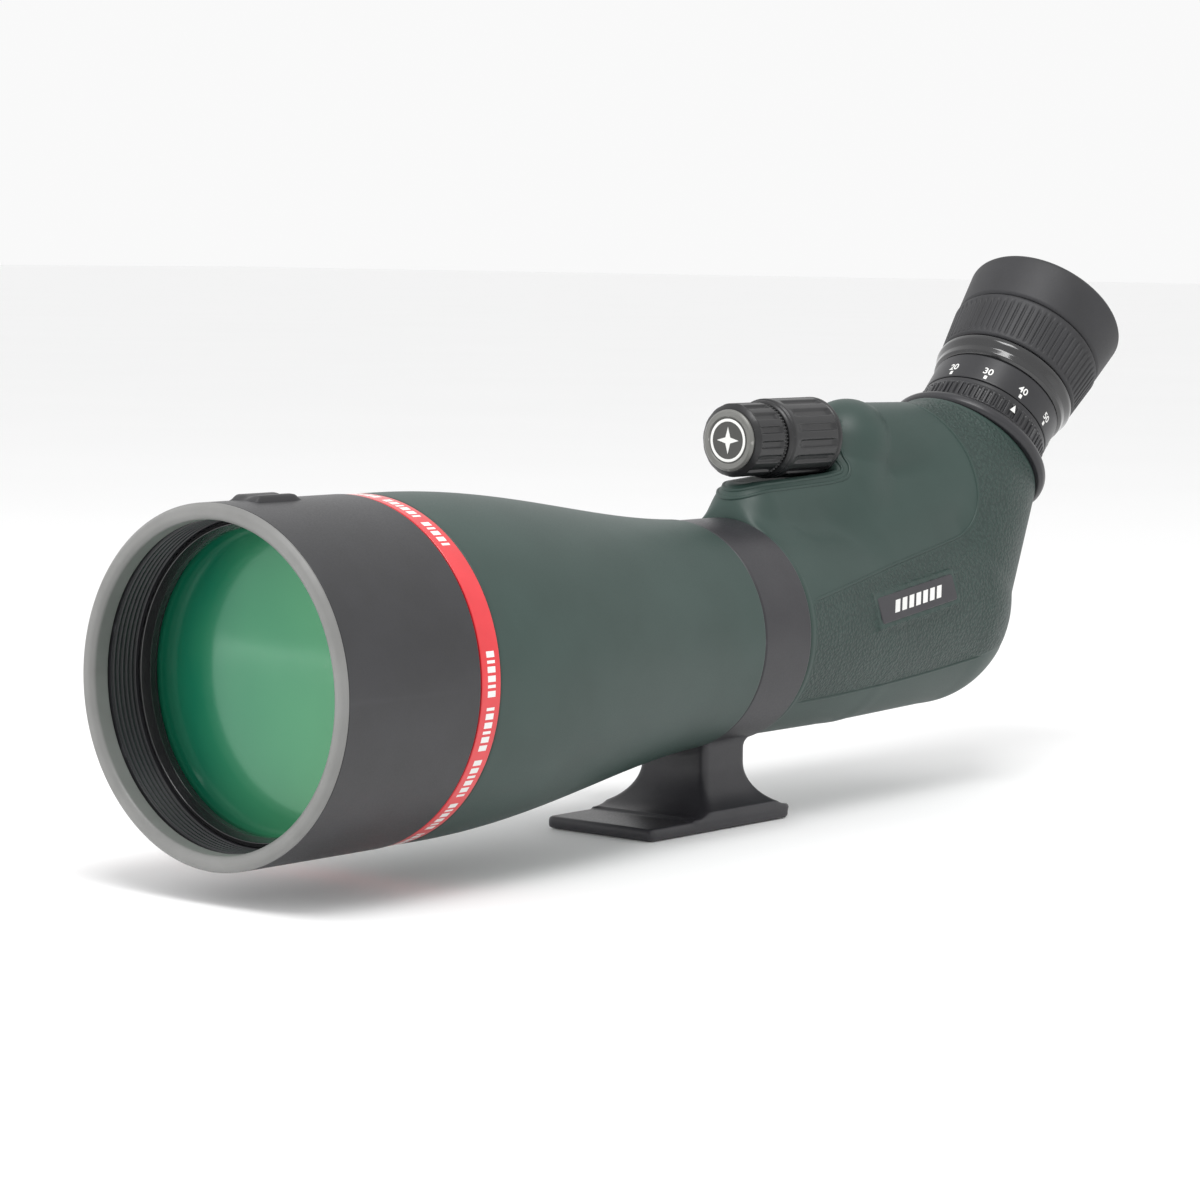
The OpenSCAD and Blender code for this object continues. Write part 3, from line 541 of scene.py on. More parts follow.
def sight_pad():
    """Low sighting ridge on top of the sunshade: two raised edges with a shallow channel between."""
    lo, hi = low("sunshade_sight"), high("sunshade_sight")
    length, steps, rows = hi[0] - lo[0], 24, 22
    verts, faces = [], []
    top = hi[2] - axis_z
    half = math.radians(6)
    for i in range(steps + 1):
        t = i / steps
        end = min(1, 6 * t) * min(1, 6 * (1 - t))
        end = math.sin(end * math.pi / 2)
        for j in range(rows + 1):
            s = 2 * j / rows - 1
            side = math.sin(min(1, 5 * (1 - abs(s))) * math.pi / 2)
            channel = 0.75 * math.exp(-(s / 0.3) ** 2)
            r = shade_r - 0.1 + (top - shade_r - 0.05 - channel) * side * end + 0.1 * side * end
            a = math.pi / 2 + half * s
            verts.append((lo[0] + length * t, r * math.cos(a), axis_z + r * math.sin(a)))
    for i in range(steps):
        for j in range(rows):
            a = i * (rows + 1) + j
            faces.append((a, a + 1, a + rows + 2, a + rows + 1))
    return verts, faces


verts, faces = sight_pad()
piece = make("sunshade_sight_pad", verts, faces, "sunshade", M["shade_black"], 60)
fix_normals(piece)
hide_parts("sunshade_sight")


# ---- objective

tube_in, tube_out = 42.6, 43.6


def objective_outline():
    front, back = mouth_x, high("objective_tube")[0]
    ring_x = low("objective_retaining_ring")[0]
    grooves = 6
    pitch = (ring_x - front) / (grooves + 0.5)
    inner = [(tube_in, front + 0.3)]
    for i in range(grooves):
        for k, f in ((0, 0.3), (0.5, 0.45), (0.5, 0.75), (0, 0.9)):
            inner.append((tube_in + k, front + pitch * (i + f)))
    inner += [(tube_in, front + 26), (tube_in - 0.6, front + 30), (tube_in - 0.6, back)]
    return inner + [(tube_out - 0.8, back), (tube_out - 0.8, barrel_x0), (tube_out, barrel_x0),
                    (tube_out, front + 3.5), (tube_out + 0.8, front + 3.5), (tube_out + 0.8, front + 0.4),
                    (tube_out + 0.4, front)]


piece = lathe("objective_cell", objective_outline(), barrel_frame, "scope_tube",
              M["black_anodised"], 0.12, 256)
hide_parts("objective_tube")
ring_x0, ring_x1 = low("objective_retaining_ring")[0], high("objective_retaining_ring")[0]
outline = [(42.55, ring_x0), (42.55, ring_x1), (40.0, ring_x1), (40.0, ring_x0 + 2), (41.2, ring_x0 - 0.6)]
piece = lathe("objective_ring", outline, barrel_frame, "scope_tube",
              M["gloss_black"], 0.3, 256)
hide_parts("objective_retaining_ring")


def dome(r, bulge, h0, sign, rings=40):
    """Points of a shallow spherical face from the axis to radius r."""
    big = (r * r + bulge * bulge) / (2 * bulge)
    return [(r * i / rings, h0 - sign * (math.sqrt(big * big - (r * i / rings) ** 2) - (big - bulge)))
            for i in range(rings + 1)]


glass_r, glass_edge = 41.6, lens_x + 3.35
front = dome(39.9, 3.3, glass_edge, 1)
back = dome(39.9, 3.6, glass_edge + 4, -1)
outline = front + [(glass_r, glass_edge), (glass_r, glass_edge + 4)] + back[::-1]
piece = lathe("objective_glass", outline, barrel_frame, "scope_tube",
              M["coated_glass"], 0, 192)
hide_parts("objective_front_lens")


# ---- rounded castings, from distance fields

def smooth_min(a, b, k):
    h = np.clip(0.5 + 0.5 * (b - a) / k, 0, 1)
    return b + (a - b) * h - k * h * (1 - h)


def smooth_max(a, b, k):
    return -smooth_min(-a, -b, k)


def round_cone(x, y, z, a, b, ra, rb, squeeze=1.0):
    """Distance to the shape swept by a ball that goes from a to b as its radius goes from ra to rb.
    squeeze below 1 makes it narrower across y."""
    ax, az, bx, bz = *a, *b
    length = math.hypot(bx - ax, bz - az)
    ux, uz = (bx - ax) / length, (bz - az) / length
    slope = (ra - rb) / length
    rise = math.sqrt(max(1e-9, 1 - slope * slope))
    along = (x - ax) * ux + (z - az) * uz
    px, pz = x - ax - along * ux, z - az - along * uz
    off = np.sqrt(px * px + pz * pz + (y / squeeze) ** 2)
    t = np.clip((along + off * slope / rise) / length, 0, 1)
    d = np.sqrt((along - t * length) ** 2 + off ** 2) - (ra + (rb - ra) * t)
    return d * (0.5 + 0.5 * squeeze)


def surface_net(field, lo, hi, step, settle=4):
    """Quad mesh of field = 0, its points then moved onto the surface."""
    axes = [np.arange(lo[i] - 2 * step, hi[i] + 2.01 * step, step) for i in range(3)]
    gx, gy, gz = np.meshgrid(*axes, indexing="ij")
    value = field(gx, gy, gz)
    inside = value < 0
    shape = tuple(n - 1 for n in inside.shape)
    total = np.zeros(shape + (3,))
    count = np.zeros(shape)
    corner = [(i, j, k) for i in (0, 1) for j in (0, 1) for k in (0, 1)]
    for a in corner:
        for axis in range(3):
            if a[axis]:
                continue
            b = tuple(a[i] + (i == axis) for i in range(3))
            va = value[a[0]:a[0] + shape[0], a[1]:a[1] + shape[1], a[2]:a[2] + shape[2]]
            vb = value[b[0]:b[0] + shape[0], b[1]:b[1] + shape[1], b[2]:b[2] + shape[2]]
            cross = (va < 0) != (vb < 0)
            t = np.where(cross, va / np.where(cross, va - vb, 1), 0)
            for i in range(3):
                total[..., i] += np.where(cross, a[i] + t * (i == axis), 0)
            count += cross
    used = count > 0
    index = -np.ones(shape, int)
    index[used] = np.arange(used.sum())
    cell = np.argwhere(used)
    verts = (cell + total[used] / count[used][:, None]) * step + np.array([a[0] for a in axes])
    faces = []
    for axis in range(3):
        u, v = [i for i in range(3) if i != axis]
        sl = [slice(None)] * 3
        sl[axis] = slice(0, -1)
        nxt = [slice(None)] * 3
        nxt[axis] = slice(1, None)
        flip = inside[tuple(sl)] != inside[tuple(nxt)]
        for p in np.argwhere(flip):
            if p[u] == 0 or p[v] == 0:
                continue
            quad = []
            for du, dv in ((-1, -1), (0, -1), (0, 0), (-1, 0)):
                c = p.copy()
                c[u] += du
                c[v] += dv
                if c[u] >= shape[u] or c[v] >= shape[v] or c[axis] >= shape[axis]:
                    break
                quad.append(index[tuple(c)])
            if len(quad) == 4 and min(quad) >= 0:
                if inside[tuple(p)] == (axis != 1):
                    quad.reverse()
                faces.append(quad)
    for _ in range(settle):
        x, y, z = verts.T
        d = field(x, y, z)
        e = 0.05
        g = np.stack([field(x + e, y, z) - d, field(x, y + e, z) - d, field(x, y, z + e) - d], 1) / e
        size = np.maximum((g * g).sum(1), 0.05)
        verts = verts - np.clip((d / size)[:, None] * g, -0.5 * step, 0.5 * step)
    return verts, faces


def netted(name, field, lo, hi, step, body, material, settle=4):
    """Piece whose surface is where field is 0."""
    verts, faces = surface_net(field, lo, hi, step, settle)
    obj = make(name, verts, faces, body, material, 50, False)
    fix_normals(obj, MERGE)
    return obj


# The housing's own measures, in mm about the point where the two optical axes cross
elbow_x = eye_point.x - (eye_point.z - axis_z)
seat_dist = span_on("eyepiece_seat", matrix_along((elbow_x, 0, axis_z), eye_dir, (1, 0, -1)))[0] + 8
seat_r = span_on("eyepiece_seat", eye_frame)[2]
recess_x = coarse_x1 + 0.3
recess_r = coarse_r + 1.0
ridge = high("housing_armour")[2] - axis_z
spigot_r = 21.7
neck_r = 28.6
gland_r = 6.1


def along_eye(x, z):
    """Distance up the eyepiece's axis from the elbow, z measured from the tube's axis."""
    return (x - elbow_x) * DIAGONAL + z * DIAGONAL


def panel_groove(x, z):
    """Distance, seen from the side, to the line that bounds the smooth upper panel."""
    x, z = x - elbow_x, z
    # A long run that climbs to the back, an arc at its end, and a run up to the ridge
    corner, radius = (4.0, 39.0), 15.0
    slope = math.radians(9.5)
    nx, nz = math.sin(slope), -math.cos(slope)
    start = (corner[0] + nx * radius, corner[1] + nz * radius)
    run = (x - start[0]) * nx + (z - start[1]) * nz
    along = (x - start[0]) * math.cos(slope) + (z - start[1]) * math.sin(slope)
    arc = np.hypot(x - corner[0], z - corner[1]) - radius
    bent = np.hypot(x + 22, z - 39.5) - 41.0
    upper = np.where(z > corner[1], bent, arc)
    return np.where(along < 0, run, np.where((x < corner[0]) & (z > corner[1]), bent, upper))


def lower_groove(x, z):
    """Height over the line that bounds the pebbled band below."""
    t = (x - housing_x0) / 105.0
    return z - (-20.5 + 2.0 * t + 6.0 * np.clip(t, 0, 1.3) ** 2)


def badge_frames():
    """Centre, directions and half sizes of each plate on the flanks, from its CAD solid."""
    co = np.array([v.co for v in nodes["badge_plates"].data.vertices]) / MM
    frames = {}
    for side in (-1, 1):
        mine = co[co[:, 1] * side > 0]
        centre = (mine.max(0) + mine.min(0)) / 2
        spread = np.linalg.svd(mine - centre, full_matrices=False)[2]
        along = spread[0] * math.copysign(1, spread[0][0])
        out = spread[2] * math.copysign(1, spread[2][1] * side)
        up = np.cross(out, along)
        up = up * math.copysign(1, up[2])
        half = [np.abs((mine - centre) @ d).max() for d in (along, up, out)]
        frames[side] = (centre, along, up, out, half)
    return frames


badges = badge_frames()


def on_badge(frame, x, y, z):
    """Distances past a plate's end and edge, and out from its middle."""
    centre, along, up, out, half = frame
    px, py, pz = x - centre[0], y - centre[1], z - centre[2]
    l = np.abs(px * along[0] + py * along[1] + pz * along[2]) - half[0]
    h = np.abs(px * up[0] + py * up[1] + pz * up[2]) - half[1]
    return l, h, px * out[0] + py * out[1] + pz * out[2]


def around_badges(d, x, y, z):
    """Flattens the armour round each plate to a flush seat, with a pocket behind the plate."""
    for frame_at in badges.values():
        half_t = frame_at[4][2]
        l, h, t = on_badge(frame_at, x, y, z)
        t = t - half_t
        rim = np.maximum(l, h)
        pad = np.maximum(np.maximum(rim - 1.5, t + 0.2), -t - 3.5)
        d = np.where(rim < 8, smooth_min(d, pad, 1.2), d)
        clear = np.maximum(rim - 0.9, np.maximum(-0.15 - t, t - 6))
        d = np.where(rim < 8, smooth_max(d, -clear, 0.6), d)
        d = np.maximum(d, -np.maximum(rim + 0.4, np.abs(t + half_t) - half_t - 0.1))
    return d


def housing_base(x, y, zz):
    z = zz - axis_z
    ex = elbow_x
    seat = (ex + seat_dist * DIAGONAL, seat_dist * DIAGONAL)
    slim = np.clip((x - ex + 60) / 80, 0, 1)
    wide, y = y, y / (1 - 0.05 * slim * slim * (3 - 2 * slim))
    tube = round_cone(x, y, z, (housing_x0 - 20, 0), (ex - 35, 0), housing_r, 32.2)
    tube = smooth_min(tube, round_cone(x, y, z, (ex - 35, 0), (ex + 17, 3.0), 32.2, 33.6), 0.5)
    tube = smooth_min(tube, round_cone(x, y, z, (ex + 17, 3.0), seat, 33.6, seat_r - 0.9), 0.5)
    top = round_cone(x, y, z, (ex - 19, ridge - 15.8), (ex + 30, 42), 14.8, 24.8)
    top = smooth_min(top, round_cone(x, y, z, (ex - 25, 18), (ex - 19, ridge - 15.8), 24, 14.8), 0.5)
    top = smooth_min(top, round_cone(x, y, z, (ex - 25, 18), (ex + 30, 40), 24, 25), 3)
    d = smooth_min(tube, top, 5)
    y = wide
    # Pylon under the knobs, flared into the tube below it
    shelf = round_cone(x, y, z, (housing_x0 + 12.0, 34.5), (recess_x + 6, 36.5), 11.0, 13.0, 1.04)
    shelf = np.minimum(shelf, round_cone(x, y, z, (housing_x0 + 12.0, 34.5),
                                         (housing_x0 + 12.5, 20), 11.0, 13.0, 1.04))
    d = smooth_min(d, shelf, 9)
    # Cuts: knob recess, front face, eyepiece seat
    d = smooth_max(d, -recess_gap(x, y, z), 1.4)
    d = smooth_max(d, housing_x0 + 0.15 - x, 1.6)
    over_seat = along_eye(x, z) - (seat_dist - 1.0)
    return smooth_max(d, over_seat, 1.0)


def recess_gap(x, y, z):
    """Distance to the round recess that the knobs turn in."""
    knob = np.hypot(y, z - (knob_z - axis_z)) - recess_r
    back = x - recess_x
    outside = np.hypot(np.maximum(knob, 0), np.maximum(back, 0))
    return outside + np.minimum(np.maximum(knob, back), 0)


def bored(d, x, y, z):
    """Bores for the neck tube, the eyepiece and the knob shaft."""
    d = np.maximum(d, neck_r - np.hypot(y, z) - 1000 * (x > housing_x0 + 6))
    u = along_eye(x, z)
    off = np.hypot((x - elbow_x) * DIAGONAL - z * DIAGONAL, y)
    d = np.maximum(d, np.where(u > seat_dist - 5, spigot_r - off, -1000))
    hole = np.where(np.abs(x - recess_x - 1) < 7, gland_r - np.hypot(y, z - (knob_z - axis_z)), -1000)
    return np.maximum(d, hole)


def housing_field(x, y, zz):
    z = zz - axis_z
    base = housing_base(x, y, zz)
    skin = around_badges(base, x, y, zz)
    return bored(np.maximum(skin, -(np.maximum(base, skin - 1.2) + 1.9)), x, y, z)


def casting_field(x, y, zz):
    base = housing_base(x, y, zz) + 3.3
    return bored(np.maximum(base, -(base + 2.4)), x, y, zz - axis_z)


def pebble_value(x, y, z):
    """1 on the pebbled band of the flanks and the back, 0 on the smooth panels."""
    line, under = panel_groove(x, z), lower_groove(x, z)
    value = np.clip((line - 0.5) / 0.6, 0, 1) * np.clip((under - 0.5) / 0.6, 0, 1)
    for frame_at in badges.values():
        l, h, t = on_badge(frame_at, x, y, z + axis_z)
        near = np.abs(t) < 6
        value = np.where(near, value * np.clip((np.maximum(l, h) - 1.0) / 0.8, 0, 1), value)
    u = along_eye(x, z)
    return value * np.clip((x - housing_x0 - 2.5) / 1.0, 0, 1) * np.clip((seat_dist - 2.5 - u) / 0.6, 0, 1)


def slope_of(f, p):
    e = 0.05
    v = [float(f(*p))]
    for i in range(3):
        q = list(p)
        q[i] += e
        v.append(float(f(*q)))
    return v[0], np.array([v[1] - v[0], v[2] - v[0], v[3] - v[0]]) / e


def trace(line, start, heading, step, stop):
    """Points along line = 0 on the housing's surface, from near start."""
    p, way, points = np.array(start, float), np.array(heading, float), []
    for n in range(900):
        for _ in range(6):
            a, ga = slope_of(housing_base, p)
            b, gb = slope_of(line, p)
            j = np.stack([ga, gb])
            p = p - np.clip(j.T @ np.linalg.solve(j @ j.T + 1e-6 * np.eye(2), np.array([a, b])), -2, 2)
        go = np.cross(ga, gb)
        go = go / max(np.linalg.norm(go), 1e-9)
        if go @ way < 0:
            go = -go
        points.append((p.copy(), ga / max(np.linalg.norm(ga), 1e-9)))
        if stop(n, p, points):
            break
        way = go
        p = p + go * step
    return points


def piping(points, radius, sink, closed=False):
    """A thin raised bead along points that lie on the surface."""
    n, sides = len(points), 8
    at = np.array([p - g * sink for p, g in points])
    normal = np.array([g for p, g in points])
    if closed:
        run = np.roll(at, -1, 0) - np.roll(at, 1, 0)
    else:
        run = np.gradient(at, axis=0)
    run /= np.linalg.norm(run, axis=1)[:, None]
    side = np.cross(run, normal)
    side /= np.linalg.norm(side, axis=1)[:, None]
    normal = np.cross(side, run)
    verts, faces = [], []
    for k in range(n):
        taper = 1 if closed else min(1, 0.25 + 0.25 * min(k, n - 1 - k))
        for i in range(sides):
            a = TAU * i / sides
            verts.append(at[k] + radius * taper * (math.cos(a) * side[k] + math.sin(a) * normal[k]))
    for k in range(n if closed else n - 1):
        for i in range(sides):
            j = (i + 1) % sides
            m = (k + 1) % n
            faces.append((k * sides + i, k * sides + j, m * sides + j, m * sides + i))
    if not closed:
        faces += [tuple(range(sides))[::-1], tuple((n - 1) * sides + i for i in range(sides))]
    return verts, faces


def build_piping():
    """Beads that bound the pebbled band, and two lips around the knob recess."""
    parts = []
    step = 1.2
    for side in (-1, 1):
        upper = lambda x, y, z: panel_groove(x, z - axis_z)
        pts = trace(upper, (housing_x0 + 3, side * 30, axis_z + 10), (1, 0, 0), step,
                    lambda n, p, q: abs(p[1]) < 6 or along_eye(p[0], p[2] - axis_z) > seat_dist - 3)
        parts.append(piping(pts, 0.48, 0.12))
        under = lambda x, y, z: lower_groove(x, z - axis_z)
        pts = trace(under, (housing_x0 + 3, side * 26, axis_z - 20), (1, 0, 0), step,
                    lambda n, p, q: p[0] > elbow_x + 16)
        parts.append(piping(pts, 0.48, 0.12))
    for off in (1.9, 4.3):
        lip = lambda x, y, z: recess_gap(x, y, z - axis_z) - off
        pts = trace(lip, (recess_x - 20, -11, knob_z - recess_r + 1), (1, 0, 0), 0.9,
                    lambda n, p, q: n > 30 and np.linalg.norm(p - q[0][0]) < 0.9)
        parts.append(piping(pts, 0.62, 0.18, True))
    verts, faces = joined(parts)
    obj = make("housing_beads", verts, faces, "scope_tube", M["green_rubber"], 50, False)
    fix_normals(obj)


def build_housing():
    step = 0.75
    casting_step = 1.8
    lo, hi = low("housing_armour"), high("housing_armour")
    obj = netted("housing_rubber", housing_field, lo, hi, step, "scope_tube",
                 M["green_pebbled"])
    mesh = obj.data
    co = np.array([v.co for v in mesh.vertices]) / MM
    value = pebble_value(co[:, 0], co[:, 1], co[:, 2] - axis_z)
    attribute = mesh.attributes.new("pebble", "FLOAT", "POINT")
    attribute.data.foreach_set("value", value.astype(np.float32))
    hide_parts("housing_armour")
    obj = netted("housing_casting", casting_field, lo, hi, casting_step, "scope_tube",
                 M["black_paint"], 0)
    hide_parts("prism_housing")
    build_piping()


build_housing()

outline = [(neck_r + 0.3, housing_x0), (housing_r - 0.7, housing_x0), (housing_r - 0.1, housing_x0 + 0.6),
           (housing_r + 0.05, housing_x0 + 1.2), (housing_r - 0.05, housing_x0 + 2.4),
           (housing_r - 0.9, housing_x0 + 3.2), (neck_r + 0.3, housing_x0 + 3.2)]
lathe("housing_front_lip", outline, barrel_frame, "scope_tube", M["green_rubber"], 0.25, 256)


def foot_span(z, half, radius, height, edge):
    """Half width of the foot at height z: the column, flared by an arc down to the plate."""
    below = np.clip(height - z, 0, radius)
    flare = half + radius - np.sqrt(np.maximum(radius ** 2 - below ** 2, 0))
    return np.where(z < height, np.minimum(flare, edge), half)


foot_lo, foot_hi = low("tripod_collar"), high("tripod_collar")
foot_half_y = -max(foot_lo[1], -19.4)
turn_x = joints["tube_rotation"]["pos_m"][0] / MM
ring_half = 11.5
ring_x0, ring_x1 = turn_x - ring_half, turn_x + ring_half
ring_r = foot_hi[2] - axis_z
ring_mid = (ring_x0 + ring_x1) / 2
ring_in_r = 30.1
column_x, column_y, flare_r, flare_z, plate_t = 10.0, 12.0, 13.5, 17.5, 3.6


def collar_field(x, y, z):
    radial = np.hypot(y, z - axis_z)
    ring = smooth_max(radial - ring_r + 0.3, np.abs(x - ring_mid) - (ring_x1 - ring_x0) / 2 + 0.3, 1.0)
    front = -foot_span(z, column_x, flare_r, flare_z, -foot_lo[0])
    back = foot_span(z, column_x, flare_r, flare_z, foot_hi[0])
    side = foot_span(z, column_y, flare_r, flare_z, foot_half_y)
    column = smooth_max(smooth_max(front - x, x - back, 1), np.abs(y) - side, 2.2)
    column = smooth_max(column, z - (axis_z - 20), 1)
    column = smooth_max(column, plate_t - 0.4 - z, 0.4)
    plate = smooth_max(smooth_max(foot_lo[0] - x, x - foot_hi[0], 1), np.abs(y) - foot_half_y, 1.6)
    plate = smooth_max(plate, smooth_max(z - plate_t, -z, 0.8), 1.2)
    foot = smooth_min(column, plate, 1.2)
    boss = smooth_max(np.hypot(x - ring_mid, z - axis_z) - 6.5, np.abs(y - 33) - 3.9, 0.8)
    boss = np.where(y > 0, boss, 1000)
    d = smooth_min(smooth_min(ring, foot, 3.0), boss, 1.5)
    d = smooth_max(d, 30.4 - radial, 0.5)
    d = np.maximum(d, np.where(y > 0, 3.1 - np.hypot(x - ring_mid, z - axis_z), -1000))
    thread = np.where(z < 9.5, 4.85 - np.hypot(x, y), -1000)
    return smooth_max(d, thread, 0.4)


def build_collar():
    step = 0.7
    obj = netted("collar_casting", collar_field, foot_lo, foot_hi, step, "tripod_collar",
                 M["black_paint"])
    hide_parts("tripod_collar")


build_collar()

outline = [(ring_in_r, ring_x0), (ring_r - 0.8, ring_x0), (ring_r, ring_x0 + 0.8), (ring_r, ring_x1 - 0.8),
           (ring_r - 0.8, ring_x1), (ring_in_r, ring_x1)]
lathe("collar_band", outline, barrel_frame, "tripod_collar", M["black_paint"], 0.4, 256)


# ---- knobs

def knob_ribs(count, depth, h0, h1):
    ribs = wave_ribs(count, depth, 0.55)
    return lambda a, r, h: ribs(a) * between(h, h0, h1, 0.8) * (r > 6)


outline = [(1.7, coarse_x0), (coarse_r - 1.3, coarse_x0), (coarse_r - 0.6, coarse_x0 + 0.7),
           (coarse_r - 0.6, coarse_x0 + 1.3), (coarse_r, coarse_x0 + 1.7)]
steps = 24
outline += [(coarse_r, coarse_x0 + 1.7 + (coarse_x1 - coarse_x0 - 4.4) * i / steps)
            for i in range(1, steps + 1)]
outline += [(coarse_r - 0.5, coarse_x1 - 2.2), (coarse_r, coarse_x1 - 1.8), (coarse_r, coarse_x1 - 0.6),
            (coarse_r - 0.6, coarse_x1), (3.1, coarse_x1), (3.1, coarse_x1 - 8), (1.7, coarse_x1 - 8)]
piece = lathe("coarse_knob_rubber", outline, knob_frame, "coarse_knob", M["knob_rubber"],
              0.3, 420, knob_ribs(15, 0.75, coarse_x0 + 4.5, coarse_x1 - 3.6))
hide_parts("coarse_focus_knob")

outline = [(1.6, fine_x0 + 5), (1.6, fine_x0), (fine_r - 1.6, fine_x0), (fine_r - 0.9, fine_x0 + 0.5)]
outline += [(fine_r, fine_x0 + 1.2 + (fine_x1 - fine_x0 - 3.4) * i / steps) for i in range(0, steps + 1)]
outline += [(fine_r - 0.7, fine_x1 - 1.7), (fine_r - 0.2, fine_x1 - 1.3), (fine_r - 0.2, fine_x1 - 0.4),
            (fine_r - 0.6, fine_x1), (3.0, fine_x1), (3.0, fine_x0 + 5)]
ribs_long = knob_ribs(15, 0.8, fine_x0 + 1.8, fine_x1 - 2.8)
teeth = wave_ribs(60, 0.35)
piece = lathe("fine_knob_rubber", outline, knob_frame, "fine_knob", M["knob_rubber"], 0.25,
              480, lambda a, r, h: ribs_long(a, r, h) + teeth(a) * (h > fine_x1 - 1.6) * (r > fine_r - 1))
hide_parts("fine_focus_knob")

cap_t = 1.2
outline = [(0, cap_x0 + cap_t), (cap_r, cap_x0 + cap_t), (cap_r, cap_x0 + 0.55), (cap_r - 0.7, cap_x0),
           (7.2, cap_x0), (6.9, cap_x0 + 0.3), (0, cap_x0 + 0.3)]
piece = lathe("fine_knob_disc", outline, knob_frame, "fine_knob", M["grey_metal"], 0.15, 160)
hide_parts("fine_knob_cap")
outline = [(0, cap_x0 + 0.31), (0, cap_x0 + 0.2), (6.85, cap_x0 + 0.2), (6.85, cap_x0 + 0.31)]
lathe("fine_knob_inlay", outline, knob_frame, "fine_knob", M["cap_dark"], 0.05, 160)
outline = [(5.6, cap_x0 + 0.21), (5.6, cap_x0 + 0.12), (6.45, cap_x0 + 0.12), (6.45, cap_x0 + 0.21)]
lathe("fine_knob_white_ring", outline, knob_frame, "fine_knob", M["white_ink"], 0.03, 160)


def compass_mark(size, waist, thick):
    """A plain four-pointed mark."""
    pts = [(size if i % 2 == 0 else waist) * np.array([math.cos(i * TAU / 8),
                                                       math.sin(i * TAU / 8)]) for i in range(8)]
    verts = [(p[0], p[1], 0) for p in pts] + [(p[0], p[1], -thick) for p in pts]
    faces = [tuple(range(8)), tuple(range(15, 7, -1))]
    faces += [(i, i + 8, (i + 1) % 8 + 8, (i + 1) % 8) for i in range(8)]
    return verts, faces


verts, faces = compass_mark(4.0, 1.25, 0.08)
m = matrix_along((cap_x0 + 0.21, 0, knob_z), (1, 0, 0), (0, 0, 1))
piece = make("fine_knob_mark", place(verts, m), faces, "fine_knob", M["white_ink"], 30, False)
fix_normals(piece)

lock_frame = matrix_along((joints["lock_knob_turn"]["pos_m"][0] / MM, 0,
                           joints["lock_knob_turn"]["pos_m"][2] / MM),
                          (0, 1, 0), (0, 0, 1))
lock_y0, lock_y1, lock_r = span_on("collar_lock_knob", lock_frame)
outline = [(3.05, lock_y0), (6.5, lock_y0), (6.5, lock_y0 + 2), (lock_r, lock_y0 + 2.4)]
outline += [(lock_r, lock_y0 + 2.4 + (lock_y1 - lock_y0 - 4.4) * i / 12) for i in range(1, 13)]
outline += [(lock_r - 2.2, lock_y1), (3.0, lock_y1), (2.6, lock_y1 - 0.5), (0, lock_y1 - 0.5),
            (0, lock_y1 - 3), (3.05, lock_y1 - 3)]
piece = lathe("lock_knob_rubber", outline, lock_frame, "lock_knob", M["knob_rubber"], 0.3,
              288, knob_ribs(12, 0.8, lock_y0 + 3, lock_y1 - 1.6))
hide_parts("collar_lock_knob")


# ---- badge plates on the flanks

def badge(side):
    """Plate with a bevelled top edge, set in the flank, and a plain mark of slanted bars."""
    centre, along, up, out, (half_l, half_h, half_t) = badges[side]

    def plate(l, h, t0, t1, corner, bevel):
        pts = []
        for cx, cy, a0 in ((l - corner, h - corner, 0), (corner - l, h - corner, 90),
                           (corner - l, corner - h, 180), (l - corner, corner - h, 270)):
            pts += [(cx + corner * math.cos(math.radians(a0 + 15 * k)),
                     cy + corner * math.sin(math.radians(a0 + 15 * k)))
                    for k in range(7)]
        n = len(pts)
        levels = [(0.0, t0), (0.0, t1 - bevel), (bevel, t1)]
        verts = []
        for inset, t in levels:
            for px, py in pts:
                s = 1 - inset / h
                verts.append(centre + along * (px - math.copysign(inset, px)) + up * py * s + out * t)
        faces = [tuple(range(n))[::-1], tuple(range(2 * n, 3 * n))]
        for level in range(2):
            faces += [(level * n + i, level * n + (i + 1) % n,
                       (level + 1) * n + (i + 1) % n, (level + 1) * n + i)
                      for i in range(n)]
        return verts, faces

    name = "badge_left" if side < 0 else "badge_right"
    v, f = plate(half_l, half_h, -half_t, half_t, 0.9, 0.25)
    obj = make(name, v, f, "scope_tube", M["black_paint"], 30, False)
    fix_normals(obj)
    parts = []
    for k in range(7):
        at, lean = (k - 3) * 3.7, 0.9
        corners = [(at - 1.2 - lean, -1.8), (at + 1.2 - lean, -1.8),
                   (at + 1.2 + lean, 1.8), (at - 1.2 + lean, 1.8)]
        base = [centre + along * px + up * py + out * (half_t - 0.02) for px, py in corners]
        top = [p + out * 0.12 for p in base]
        parts.append((base + top, [(0, 1, 2, 3), (7, 6, 5, 4), (0, 4, 5, 1), (1, 5, 6, 2),
                                   (2, 6, 7, 3), (3, 7, 4, 0)]))
    v, f = joined(parts)
    mark = make(name + "_bars", v, f, "scope_tube", M["white_ink"], 30, False)
    fix_normals(mark)
    return obj


left = badge(-1)
badge(1)
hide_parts("badge_plates")


# ---- eyepiece

def eye_span(node):
    return span_on(node, eye_frame)


seat_u0 = eye_span("eyepiece_seat")[0]
flange_u = seat_u0 + 8
fixed_in_r, turning_in_r = 17.6, 19.3
dial_u0, dial_u1, dial_r = eye_span("zoom_dial")
gloss_u0, gloss_u1, gloss_r = eye_span("zoom_collar")
grip_u0, grip_u1, grip_r = eye_span("zoom_grip")
cup_u0, cup_u1, cup_r = eye_span("eyecup")
lock_u0, lock_u1, lock_r2 = eye_span("eyepiece_lock_ring")

